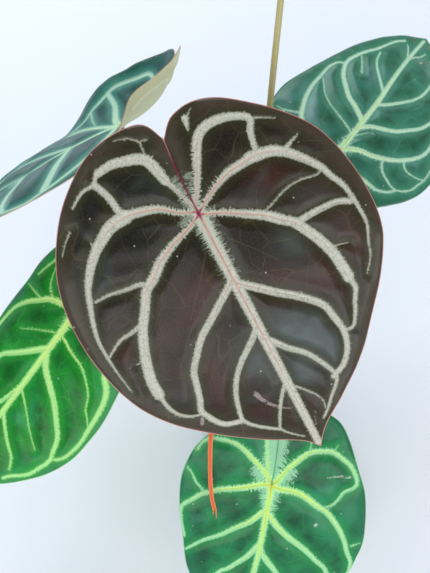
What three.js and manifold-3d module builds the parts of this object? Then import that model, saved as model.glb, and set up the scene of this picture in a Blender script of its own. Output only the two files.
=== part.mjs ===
// Potted anthurium hybrid, in millimetres, +Z up.
// Origin: the middle of the pot's base, on the surface that the pot stands on.
// Five cordate blades stand on arching petioles round a short crown. A drying flower stalk and one
// drying cataphyll rise with them, and the crown sits in bark mix in a round nursery pot.
import * as THREE from 'three';
import * as BufferGeometryUtils from 'three/addons/utils/BufferGeometryUtils.js';
import Module from 'manifold-3d';

const wasm = await Module();
wasm.setup();

// Driving dimensions of the pot and what it holds
const fitGap = 0.3;
const potHeight = 107;
const potRimRadius = 60;
const potBaseRadius = 44;
const potWall = 1.8;
const rimDepth = 13;
const rimStep = 2.2;
const footHeight = 2.4;
const drainHoles = 6;
const drainRadius = 3.2;
const drainCircle = 31;
const soilTop = 94;
const barkPieces = 44;
const potFacets = 44;
const mixFacets = 40;
const crownFacets = 20;

// Driving dimensions of the plant
const crownRadius = 16.5;
const crownTop = 110;
const crownFoot = 66;
const socketDepth = 11;
const scarPitch = 5;
const bladeThickness = 0.7;
const bladeSpokes = 44;
const bladeRings = 8;
const normalStep = 0.5;
const marginWave = 1.3;
const waveCount = 7;
const waveReach = 110;
const rootRadius = 2.4;
const goldenAngle = 2.39996;

// Each leaf: the joint of petiole and blade, where the midrib heads seen from above, how far it droops and
// rolls, how each half curls at its front and at its lobe, and its outline from the sinus to the tip.
// Blade points are [across, along the midrib], and the two halves are given apart.
const leaves = [
  {
    name: 'main', joint: [-45, -29, 368], heading: 304.2, droop: 33.5, roll: 19.2, colour: 0x37302a,
    socket: [-2, -4], rise: [-6, 4, 106], bend: 40, petiole: [4.2, 3.2, 4.2],
    frontCurl: [-0.0006, -0.0006], lobeCurl: [-0.0006, -0.0006], tipBend: 0.0022, lobeBend: 0.001,
    halfA: [[-2.2, -53], [3, -65], [11, -70], [27, -71], [45, -67], [64, -56], [82, -39], [98, -14], [107, 13],
      [109, 44], [105, 72], [96, 97], [82, 119], [68, 135], [53, 150], [35, 164], [19, 173], [7, 180], [0, 188]],
    halfB: [[-3.4, -53], [-8, -59], [-15, -64], [-29, -66], [-45, -61], [-63, -48], [-81, -31], [-95, -12],
      [-103, 12], [-106, 40], [-103, 66], [-91, 91], [-76, 113], [-56, 137], [-32, 156], [-11, 172], [0, 188]],
  },
  {
    name: 'front', joint: [10, -135, 167], heading: 259, droop: 46.7, roll: -12.6, colour: 0x1f6b45,
    socket: [2, -12.5], rise: [1, -22, 50], bend: 32, petiole: [3.6, 2.8, 3.7],
    frontCurl: [-0.001, -0.001], lobeCurl: [-0.001, -0.001], tipBend: 0.002, lobeBend: 0.001,
    halfA: [[0.8, -44], [10, -55], [22, -58], [35, -54], [46, -46], [54, -37], [64, -24], [70, -6], [71, 9],
      [69, 29], [64, 50], [59, 73], [55, 85], [46, 104], [35, 122], [21, 138], [8, 149], [1, 155]],
    halfB: [[-0.8, -44], [-8, -57], [-18, -64], [-32, -63], [-46, -56], [-56, -42], [-66, -21], [-76, 1],
      [-81, 23], [-83, 46], [-80, 61], [-76, 78], [-69, 96], [-57, 114], [-41, 132], [-24, 145], [-9, 152], [1, 155]],
  },
  {
    name: 'left', joint: [-139, -21, 247], heading: 227.1, droop: 28, roll: -11.2, colour: 0x2f8a34,
    socket: [-11.5, -2.5], rise: [-26, 2, 92], bend: 36, petiole: [3.6, 3, 3.9],
    frontCurl: [-0.009, -0.0045], lobeCurl: [-0.009, -0.0045], tipBend: 0.0008, lobeBend: 0.001,
    halfA: [[0.8, -42], [8, -54], [18, -57], [30, -52], [42, -41], [52, -25], [57, -6], [56, 12], [57, 36],
      [56, 60], [54, 85], [48, 110], [39, 135], [27, 158], [15, 176], [5, 190]],
    halfB: [[-0.8, -42], [-7, -54], [-17, -59], [-30, -54], [-43, -39], [-54, -17], [-61, 9], [-65, 36],
      [-69, 60], [-69, 80], [-66, 102], [-56, 124], [-40, 144], [-25, 158], [-9, 174], [5, 190]],
  },
  {
    name: 'right', joint: [66, 103, 286], heading: 53.8, droop: -8.2, roll: 10.1, colour: 0x2e6b55,
    socket: [6.5, 9.5], rise: [14, 24, 96], bend: 38, petiole: [3.6, 3, 3.9],
    frontCurl: [-0.001, -0.001], lobeCurl: [-0.001, -0.001], tipBend: 0.0012, lobeBend: 0.001,
    halfA: [[0.7, -34], [8, -43], [20, -46], [34, -40], [46, -27], [60, -12], [69, 0], [75, 14], [77, 32],
      [75, 58], [69, 84], [59, 108], [45, 130], [29, 149], [12, 163], [-4, 171]],
    halfB: [[-0.7, -34], [-10, -43], [-24, -46], [-39, -42], [-53, -32], [-65, -15], [-72, 4], [-75, 28],
      [-72, 47], [-65, 72], [-59, 90], [-51, 110], [-43, 125], [-33, 140], [-22, 154], [-12, 163], [-4, 171]],
  },
  {
    name: 'back', joint: [-113, 116, 307], heading: 199.1, droop: 12.9, roll: 32.1, colour: 0x1f4a42,
    socket: [-8.5, 8], rise: [-20, 18, 104], bend: 38, petiole: [3.6, 3, 3.9],
    frontCurl: [-0.001, -0.002], lobeCurl: [0.011, 0.0125], tipBend: 0.0022, lobeBend: -0.012,
    turnFrom: [55, 33], turnOver: 70,
    halfA: [[0.8, -50], [7, -68], [16, -78], [29, -77], [44, -68], [57, -56], [66, -41], [72, -18], [74, 10],
      [74, 40], [70, 70], [62, 100], [49, 128], [31, 153], [13, 172], [0, 182]],
    halfB: [[-0.8, -50], [-8, -77], [-18, -86], [-32, -83], [-50, -67], [-62, -46], [-69, -20], [-70, 10],
      [-69, 40], [-69, 70], [-65, 100], [-53, 130], [-34, 154], [-14, 173], [0, 182]],
  },
];

const stalkPath = [[-1.5, 5, 99], [1, 45, 227], [7, 91, 350], [12.5, 123, 441]];
const stalkRadius = [2.9, 2.5, 2.4];
const cataphyllPath = [[-7.2, -10.2, 98], [-12, -27, 146], [-24, -64, 192], [-36, -107, 212], [-38, -129, 195],
  [-37, -146, 175], [-33, -160, 159]];
const cataphyllWidth = [2.3, 2.1, 1.1];
const cataphyllFlatness = 0.36;

// Small helpers

function smoothStep(x) {
  const t = Math.min(Math.max(x, 0), 1);
  return t * t * (3 - 2 * t);
}

function seededRandom(seed) {
  let state = seed;
  return () => {
    state = (state * 1664525 + 1013904223) % 4294967296;
    return state / 4294967296;
  };
}

function toSolid(geometry) {
  const bare = geometry.clone();
  bare.deleteAttribute('normal');
  bare.deleteAttribute('uv');
  const merged = BufferGeometryUtils.mergeVertices(bare, 1e-4);
  const vertProperties = new Float32Array(merged.attributes.position.array);
  const triVerts = new Uint32Array(merged.index.array);
  return new wasm.Manifold(new wasm.Mesh({ numProp: 3, vertProperties, triVerts }));
}

function toGeometry(solid) {
  const mesh = solid.getMesh();
  const geometry = new THREE.BufferGeometry();
  geometry.setAttribute('position', new THREE.BufferAttribute(mesh.vertProperties, 3));
  geometry.setIndex(new THREE.BufferAttribute(mesh.triVerts, 1));
  return geometry;
}

// A lathed profile of [radius, height] pairs, turned to stand on Z
function lathed(profile, segments) {
  const points = profile.map(([radius, height]) => new THREE.Vector2(radius, height));
  return new THREE.LatheGeometry(points, segments).rotateX(Math.PI / 2);
}

// A round or flattened rod that follows a path, with its radius given at the foot, middle and tip
function rod(path, radii, { sides = 8, steps = 22, flatness = 1, extra = 0, end = null } = {}) {
  const curve = path instanceof THREE.Curve ? path : new THREE.CatmullRomCurve3(path.map((p) => new THREE.Vector3(...p)));
  const frames = curve.computeFrenetFrames(steps, false);
  const geometry = new THREE.CylinderGeometry(1, 1, 1, sides, steps);
  const place = geometry.attributes.position;
  for (let i = 0; i < place.count; i += 1) {
    const t = place.getY(i) + 0.5;
    const step = Math.round(t * steps);
    const across = frames.normals[step];
    const thin = frames.binormals[step];
    const swell = end ? end(t) : 1;
    const radius = THREE.MathUtils.lerp(
      THREE.MathUtils.lerp(radii[0], radii[1], Math.min(t * 2, 1)), radii[2], Math.max(t * 2 - 1, 0),
    ) * swell + extra;
    const centre = curve.getPointAt(t);
    if (step === 0) centre.addScaledVector(frames.tangents[0], -extra);
    centre.addScaledVector(across, place.getX(i) * radius);
    centre.addScaledVector(thin, -place.getZ(i) * (radius * flatness + extra * (1 - flatness)));
    place.setXYZ(i, centre.x, centre.y, centre.z);
  }
  return geometry;
}

// Blade surface: the same rule shapes every leaf

function leafFrame(leaf) {
  const heading = THREE.MathUtils.degToRad(leaf.heading);
  const droop = THREE.MathUtils.degToRad(leaf.droop);
  const roll = THREE.MathUtils.degToRad(leaf.roll);
  const along = new THREE.Vector3(
    Math.cos(droop) * Math.cos(heading), Math.cos(droop) * Math.sin(heading), -Math.sin(droop),
  );
  const level = new THREE.Vector3(Math.sin(heading), -Math.cos(heading), 0);
  const up = new THREE.Vector3().crossVectors(level, along);
  const normal = up.multiplyScalar(Math.cos(roll)).addScaledVector(level, Math.sin(roll)).normalize();
  const across = new THREE.Vector3().crossVectors(along, normal);
  return { origin: new THREE.Vector3(...leaf.joint), across, along, normal };
}

function curlAt(leaf, u, v) {
  const side = u > 0 ? 0 : 1;
  const from = leaf.turnFrom ? leaf.turnFrom[side] : 0;
  const share = smoothStep((from - v) / (leaf.turnOver ?? 60));
  return THREE.MathUtils.lerp(leaf.frontCurl[side], leaf.lobeCurl[side], share);
}

// Point on the middle surface of a blade, for a place u across and v along the flat blade
function bladePoint(leaf, frame, u, v) {
  const curl = curlAt(leaf, u, v);
  const reach = Math.hypot(u, v) / waveReach;
  const wave = marginWave * reach ** 3 * Math.sin(waveCount * Math.atan2(u, v) + leaf.heading);
  const x = Math.sin(curl * u) / curl;
  const z = (1 - Math.cos(curl * u)) / curl + wave;
  const bend = v > 0 ? leaf.tipBend : leaf.lobeBend;
  const y = (1 / bend + z) * Math.sin(bend * v);
  const lift = (1 / bend + z) * Math.cos(bend * v) - 1 / bend;
  return frame.origin.clone().addScaledVector(frame.across, x).addScaledVector(frame.along, y)
    .addScaledVector(frame.normal, lift);
}

// Outline of the whole blade as [u, v] points, from the sinus round half A to the tip and back by half B
function bladeOutline(leaf, count) {
  const curveOf = (half) => new THREE.SplineCurve(half.map((p) => new THREE.Vector2(...p)));
  const forward = curveOf(leaf.halfA).getSpacedPoints(count / 2);
  const backward = curveOf(leaf.halfB).getSpacedPoints(count / 2).reverse();
  return forward.concat(backward.slice(1));
}

// A closed thin solid on spokes from the joint. Both faces are split into triangles alike.
function bladeGeometry(leaf) {
  const frame = leafFrame(leaf);
  const outline = bladeOutline(leaf, bladeSpokes);
  const spokes = outline.length;
  const positions = [];
  const normalAt = (u, v) => {
    const here = bladePoint(leaf, frame, u, v);
    const du = bladePoint(leaf, frame, u + normalStep, v).sub(here);
    const dv = bladePoint(leaf, frame, u, v + normalStep).sub(here);
    return du.cross(dv).normalize();
  };
  const pushPair = (u, v) => {
    const middle = bladePoint(leaf, frame, u, v);
    const half = normalAt(u, v).multiplyScalar(bladeThickness / 2);
    const top = middle.clone().add(half);
    const under = middle.clone().sub(half);
    positions.push(top.x, top.y, top.z, under.x, under.y, under.z);
  };
  pushPair(0, 0);
  for (let ring = 1; ring <= bladeRings; ring += 1) {
    const share = ring / bladeRings;
    for (const point of outline) pushPair(point.x * share, point.y * share);
  }
  const top = (ring, spoke) => (ring === 0 ? 0 : 2 * (1 + (ring - 1) * spokes + spoke));
  const indices = [];
  const face = (a, b, c) => indices.push(a, b, c, a + 1, c + 1, b + 1);
  const wall = (a, b) => indices.push(a, a + 1, b, b, a + 1, b + 1);
  for (let spoke = 0; spoke < spokes - 1; spoke += 1) {
    face(0, top(1, spoke), top(1, spoke + 1));
    for (let ring = 1; ring < bladeRings; ring += 1) {
      face(top(ring, spoke), top(ring + 1, spoke), top(ring, spoke + 1));
      face(top(ring, spoke + 1), top(ring + 1, spoke), top(ring + 1, spoke + 1));
    }
    wall(top(bladeRings, spoke), top(bladeRings, spoke + 1));
  }
  for (let ring = 0; ring < bladeRings; ring += 1) {
    wall(top(ring + 1, spokes - 1), top(ring, spokes - 1));
    wall(top(ring, 0), top(ring + 1, 0));
  }
  const geometry = new THREE.BufferGeometry();
  geometry.setAttribute('position', new THREE.Float32BufferAttribute(positions, 3));
  geometry.setIndex(indices);
  return geometry;
}

// The petiole rises from its socket, arches out and meets the blade's underside square on.
// Its top end swells into the geniculum, the joint that tilts the blade.
function petioleCurve(leaf) {
  const frame = leafFrame(leaf);
  const foot = new THREE.Vector3(...leaf.socket, crownTop - socketDepth);
  const rise = new THREE.Vector3(...leaf.rise).add(foot);
  const seat = frame.origin.clone().addScaledVector(frame.normal, -bladeThickness / 2 - fitGap);
  const under = seat.clone().addScaledVector(frame.normal, -leaf.bend);
  return new THREE.CubicBezierCurve3(foot, rise, under, seat);
}

function petioleSwell(t) {
  const foot = 0.22 * (1 - smoothStep(t / 0.16));
  const geniculum = 0.2 * smoothStep((t - 0.86) / 0.08) - 0.12 * smoothStep((t - 0.95) / 0.05);
  return 1 + foot + geniculum;
}

function petioleGeometry(leaf, extra = 0) {
  return rod(petioleCurve(leaf), leaf.petiole, { extra, end: petioleSwell });
}

function stalkGeometry(extra = 0) {
  return rod(stalkPath, stalkRadius, { steps: 14, extra });
}

function cataphyllGeometry(extra = 0) {
  return rod(cataphyllPath, cataphyllWidth, { steps: 24, flatness: cataphyllFlatness, extra });
}

// Crown: a short stout stem, ringed by old leaf scars, with thick roots that dive into the mix

function rootPaths() {
  return [20, 95, 165, 238, 305].map((degrees, index) => {
    const angle = THREE.MathUtils.degToRad(degrees);
    const far = crownRadius + 10 + 3 * (index % 2);
    const at = (radius, height) => [radius * Math.cos(angle), radius * Math.sin(angle), height];
    return [at(crownRadius * 0.55, 98 - index % 3), at(crownRadius + 3, 97.5), at(far, 88), at(far + 3, 74)];
  });
}

function crownSolid(extra) {
  const scar = (height) => (Math.round(height / scarPitch) % 2 ? 0.7 : 0) + extra;
  const profile = [[0, crownFoot - extra], [crownRadius * 0.72 + extra, crownFoot - extra]];
  for (let height = crownFoot + 8; height <= crownTop - 8; height += scarPitch) {
    const share = (height - crownFoot) / (crownTop - crownFoot);
    profile.push([crownRadius * (0.72 + 0.28 * smoothStep(share * 1.6)) + scar(height), height]);
  }
  profile.push([crownRadius * 0.93 + extra, crownTop - 4 + extra], [crownRadius * 0.6, crownTop - 0.8 + extra]);
  profile.push([0, crownTop + extra]);
  let solid = toSolid(lathed(profile, crownFacets));
  for (const path of rootPaths()) {
    solid = solid.add(toSolid(rod(path, [rootRadius, rootRadius, rootRadius * 0.8], { sides: 6, steps: 7, extra })));
  }
  return solid;
}

function crownGeometry() {
  let solid = crownSolid(0);
  for (const leaf of leaves) solid = solid.subtract(toSolid(petioleGeometry(leaf, fitGap)));
  solid = solid.subtract(toSolid(stalkGeometry(fitGap)));
  solid = solid.subtract(toSolid(cataphyllGeometry(fitGap)));
  return toGeometry(solid);
}

// Pot: a thin injection-moulded round pot with a stepped rim and drain holes in its floor

function potGeometry() {
  const slope = (height) => THREE.MathUtils.lerp(potBaseRadius, potRimRadius - rimStep, height / potHeight);
  const rimFoot = potHeight - rimDepth;
  const profile = [
    [0, 0], [potBaseRadius - 1.2, 0], [potBaseRadius, 1.2],
    [slope(rimFoot), rimFoot], [slope(rimFoot) + rimStep, rimFoot + 1.2],
    [potRimRadius - 0.6, potHeight - 1.2], [potRimRadius - 1.2, potHeight],
    [potRimRadius - potWall - 0.4, potHeight], [slope(rimFoot) + rimStep - potWall, rimFoot + 2.4],
    [slope(rimFoot) - potWall, rimFoot - 0.6],
    [potBaseRadius - potWall, footHeight], [0, footHeight],
  ];
  let solid = toSolid(lathed(profile, potFacets));
  for (let hole = 0; hole < drainHoles; hole += 1) {
    const angle = (2 * Math.PI * hole) / drainHoles;
    const drill = new THREE.CylinderGeometry(drainRadius, drainRadius, 10, 14).rotateX(Math.PI / 2)
      .translate(drainCircle * Math.cos(angle), drainCircle * Math.sin(angle), 1);
    solid = solid.subtract(toSolid(drill));
  }
  return toGeometry(solid);
}

// Potting mix: fills the pot, with coarse bark standing out of its top, and a plain hole for the crown

function mixRadius(height) {
  const inner = THREE.MathUtils.lerp(potBaseRadius, potRimRadius - rimStep, height / potHeight);
  return inner - potWall - fitGap * 1.6;
}

function barkChip(random) {
  const length = 7 + 6 * random();
  const chip = new THREE.BoxGeometry(length, length * (0.5 + 0.3 * random()), 4 + 2 * random());
  chip.rotateX(0.8 * (random() - 0.5)).rotateY(0.8 * (random() - 0.5)).rotateZ(Math.PI * 2 * random());
  return chip;
}

function mixGeometry() {
  const random = seededRandom(11);
  const profile = [
    [0, footHeight + fitGap], [mixRadius(footHeight) - 0.4, footHeight + fitGap],
    [mixRadius(soilTop - 2) - 0.3, soilTop - 2], [mixRadius(soilTop - 2) - 1.6, soilTop - 0.4], [0, soilTop],
  ];
  let solid = toSolid(lathed(profile, mixFacets));
  const reach = mixRadius(soilTop) - 8;
  for (let piece = 0; piece < barkPieces; piece += 1) {
    const radius = 17 + (reach - 17) * Math.sqrt((piece + 0.5) / barkPieces);
    const angle = piece * goldenAngle;
    const chip = barkChip(random);
    chip.translate(radius * Math.cos(angle), radius * Math.sin(angle), soilTop - 0.4 + 0.8 * random());
    solid = solid.add(toSolid(chip));
  }
  solid = solid.subtract(crownSolid(fitGap));
  const kept = solid.decompose().sort((a, b) => b.volume() - a.volume())[0];
  return toGeometry(kept);
}

// Assembly

const plant = new THREE.Group();

function addMesh(name, geometry, colour, roughness) {
  const material = new THREE.MeshStandardMaterial({ color: colour, roughness, metalness: 0 });
  const mesh = new THREE.Mesh(geometry, material);
  mesh.name = name;
  plant.add(mesh);
}

addMesh('pot', potGeometry(), 0x26282b, 0.55);
addMesh('potting_mix', mixGeometry(), 0x4a3526, 0.95);
addMesh('crown', crownGeometry(), 0x7d7a4c, 0.7);
for (const leaf of leaves) {
  addMesh(`petiole_${leaf.name}`, petioleGeometry(leaf), leaf.name === 'main' ? 0x7a5a3e : 0x6f8a4a, 0.5);
  addMesh(`blade_${leaf.name}`, bladeGeometry(leaf), leaf.colour, 0.55);
}
addMesh('flower_stalk', stalkGeometry(), 0xa79a55, 0.6);
addMesh('cataphyll', cataphyllGeometry(), 0xe8743a, 0.6);

export default plant;
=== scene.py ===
import math
import random
from functools import partial

import bmesh
import bpy
import numpy as np
from mathutils import Euler, Matrix, Vector
from mathutils.kdtree import KDTree


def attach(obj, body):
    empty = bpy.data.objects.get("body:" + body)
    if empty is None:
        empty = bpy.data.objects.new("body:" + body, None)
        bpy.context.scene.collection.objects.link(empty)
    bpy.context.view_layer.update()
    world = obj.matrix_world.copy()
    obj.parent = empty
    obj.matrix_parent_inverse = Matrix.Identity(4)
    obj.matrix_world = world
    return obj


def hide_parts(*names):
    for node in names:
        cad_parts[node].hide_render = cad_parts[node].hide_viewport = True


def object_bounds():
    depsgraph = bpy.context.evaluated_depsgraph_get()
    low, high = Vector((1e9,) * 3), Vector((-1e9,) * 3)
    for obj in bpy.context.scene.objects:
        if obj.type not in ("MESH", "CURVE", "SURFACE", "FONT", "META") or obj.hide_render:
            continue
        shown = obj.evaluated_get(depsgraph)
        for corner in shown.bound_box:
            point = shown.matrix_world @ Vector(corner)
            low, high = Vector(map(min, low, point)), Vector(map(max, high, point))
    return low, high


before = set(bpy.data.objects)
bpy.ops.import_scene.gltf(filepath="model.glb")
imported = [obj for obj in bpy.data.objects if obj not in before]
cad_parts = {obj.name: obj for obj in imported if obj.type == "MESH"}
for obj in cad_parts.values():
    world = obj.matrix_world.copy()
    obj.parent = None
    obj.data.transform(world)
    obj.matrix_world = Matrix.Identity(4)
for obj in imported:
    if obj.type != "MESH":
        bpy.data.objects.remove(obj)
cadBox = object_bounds()
scene = bpy.context.scene
dice = random.Random(5)
mm = 0.001


# Camera, lights and floor

view = dict(place=(-34.24, -364.46, 763.93), tilt=35, lens=50, sensor=36)  # mm and degrees
camera = bpy.data.objects.new("camera", bpy.data.cameras.new("camera"))
scene.collection.objects.link(camera)
camera.location = Vector(view["place"]) * mm
camera.rotation_euler = (math.radians(view["tilt"]), 0, 0)
camera.data.lens = view["lens"]
camera.data.sensor_width = view["sensor"]
camera.data.clip_start, camera.data.clip_end = 0.01, 30
scene.camera = camera
scene.view_settings.view_transform = "Standard"

# place and target in metres, size in metres, power in watts
lamps = dict(
    window=dict(place=(-0.6, 1.5, 1.8), target=(0, 0, 0.25), size=1.6, power=34, colour="#f0f6ff"),
    fill=dict(place=(0.95, -1.75, 0.95), target=(0, 0, 0.25), size=0.9, power=11, colour="#f4f7ff"),
    front=dict(place=(-0.3, -1.7, 1.2), target=(0, 0, 0.2), size=1.2, power=15, colour="#ffffff"),
)
# the sky is bluer on the left, and brighter low down than overhead
daylight = dict(left="#dce9ff", right="#fbf8f4", low=1.2, overhead=0.36, across=(-0.8, 0.5),
                rise=(0.05, 0.68))
floorReach = 20  # half the sweep's width in metres


# sRGB hex to linear, by the sRGB curve
def linear(text):
    parts = [int(text[i:i + 2], 16) / 255 for i in (1, 3, 5)]
    return [p / 12.92 if p <= 0.04045 else ((p + 0.055) / 1.055) ** 2.4 for p in parts] + [1.0]


# Sets a node's inputs. A link comes from a socket, or from a node's first output in use.
def setInputs(node, values):
    for socket, value in values.items():
        if isinstance(value, bpy.types.Node):
            value = next(end for end in value.outputs if end.enabled)
        if isinstance(value, bpy.types.NodeSocket):
            node.id_data.links.new(value, node.inputs[socket])
        else:
            node.inputs[socket].default_value = value


def addNode(tree, kind, inputs=None, **settings):
    made = tree.nodes.new("ShaderNode" + kind)
    for name, value in settings.items():
        setattr(made, name, value)
    setInputs(made, inputs or {})
    return made


rgba = dict(data_type="RGBA")
smooth = dict(interpolation_type="SMOOTHSTEP")


# The material, addNode for its tree, and its shader
def newMaterial(name, **values):
    material = bpy.data.materials.new(name)
    material.use_nodes = True
    tree = material.node_tree
    skin = tree.nodes["Principled BSDF"]
    setInputs(skin, {socket.replace("_", " "): value for socket, value in values.items()})
    return material, partial(addNode, tree), skin


# Two tones mixed by a pattern, layers of (share, hex colour or node) over them, and a relief that is depth
# metres high
def paintSkin(add, skin, pattern, tones, layers, height, strength, depth):
    colour = add("Mix", {0: pattern, 6: linear(tones[0]), 7: linear(tones[1])}, **rgba)
    for share, top in layers:
        colour = add("Mix", {0: share, 6: colour, 7: linear(top) if isinstance(top, str) else top}, **rgba)
    bump = add("Bump", {"Strength": strength, "Distance": depth, "Height": height})
    setInputs(skin, {"Base Color": colour, "Normal": bump})


for name, lamp in lamps.items():
    data = bpy.data.lights.new(name, "AREA")
    data.size, data.energy = lamp["size"], lamp["power"]
    data.color = linear(lamp["colour"])[:3]
    light = bpy.data.objects.new(name, data)
    light.location = lamp["place"]
    light.rotation_euler = (Vector(lamp["target"]) - light.location).to_track_quat("-Z", "Y").to_euler()
    scene.collection.objects.link(light)

world = bpy.data.worlds.new("softDaylight")
world.use_nodes = True
add = partial(addNode, world.node_tree)
towards = add("SeparateXYZ", {0: add("TexCoord").outputs["Generated"]})
sideways = add("MapRange", {0: towards, 1: daylight["across"][0], 2: daylight["across"][1]})
skyTint = add("Mix", {0: sideways, 6: linear(daylight["left"]), 7: linear(daylight["right"])}, **rgba)
glow = add("MapRange", {0: towards.outputs[2], 1: daylight["rise"][0], 2: daylight["rise"][1],
                        3: daylight["low"], 4: daylight["overhead"]}, **smooth)
setInputs(world.node_tree.nodes["Background"], {"Color": skyTint, "Strength": glow})
scene.world = world

floorMesh = bpy.data.meshes.new("floor")
bm = bmesh.new()
bmesh.ops.create_grid(bm, x_segments=2, y_segments=2, size=floorReach)
bm.to_mesh(floorMesh)
bm.free()
floor = bpy.data.objects.new("floor", floorMesh)
scene.collection.objects.link(floor)
# matt white paper sweep: pale, a little cool, no gloss
paper, add, skin = newMaterial("mattWhitePaper", Roughness=0.9, Specular_IOR_Level=0.1)
fibre = add("TexNoise", {"Vector": add("TexCoord").outputs["Object"], "Scale": 3.0, "Detail": 2.0})
setInputs(skin, {"Base Color": add("Mix", {0: fibre, 6: linear("#ecf2f9"), 7: linear("#f3f7fd")}, **rgba)})
floorMesh.materials.append(paper)
print("stage ready")


# Leaf data. Joint in mm, heading, droop and roll in degrees. Outlines and lines are (across, along) in mm on
# the flat blade. A line is its points and its widths at the joint's end and the far end, and a vein with a
# rib ends with the rib's two widths. Tone patches are (across, along, reach) in mm.

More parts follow.
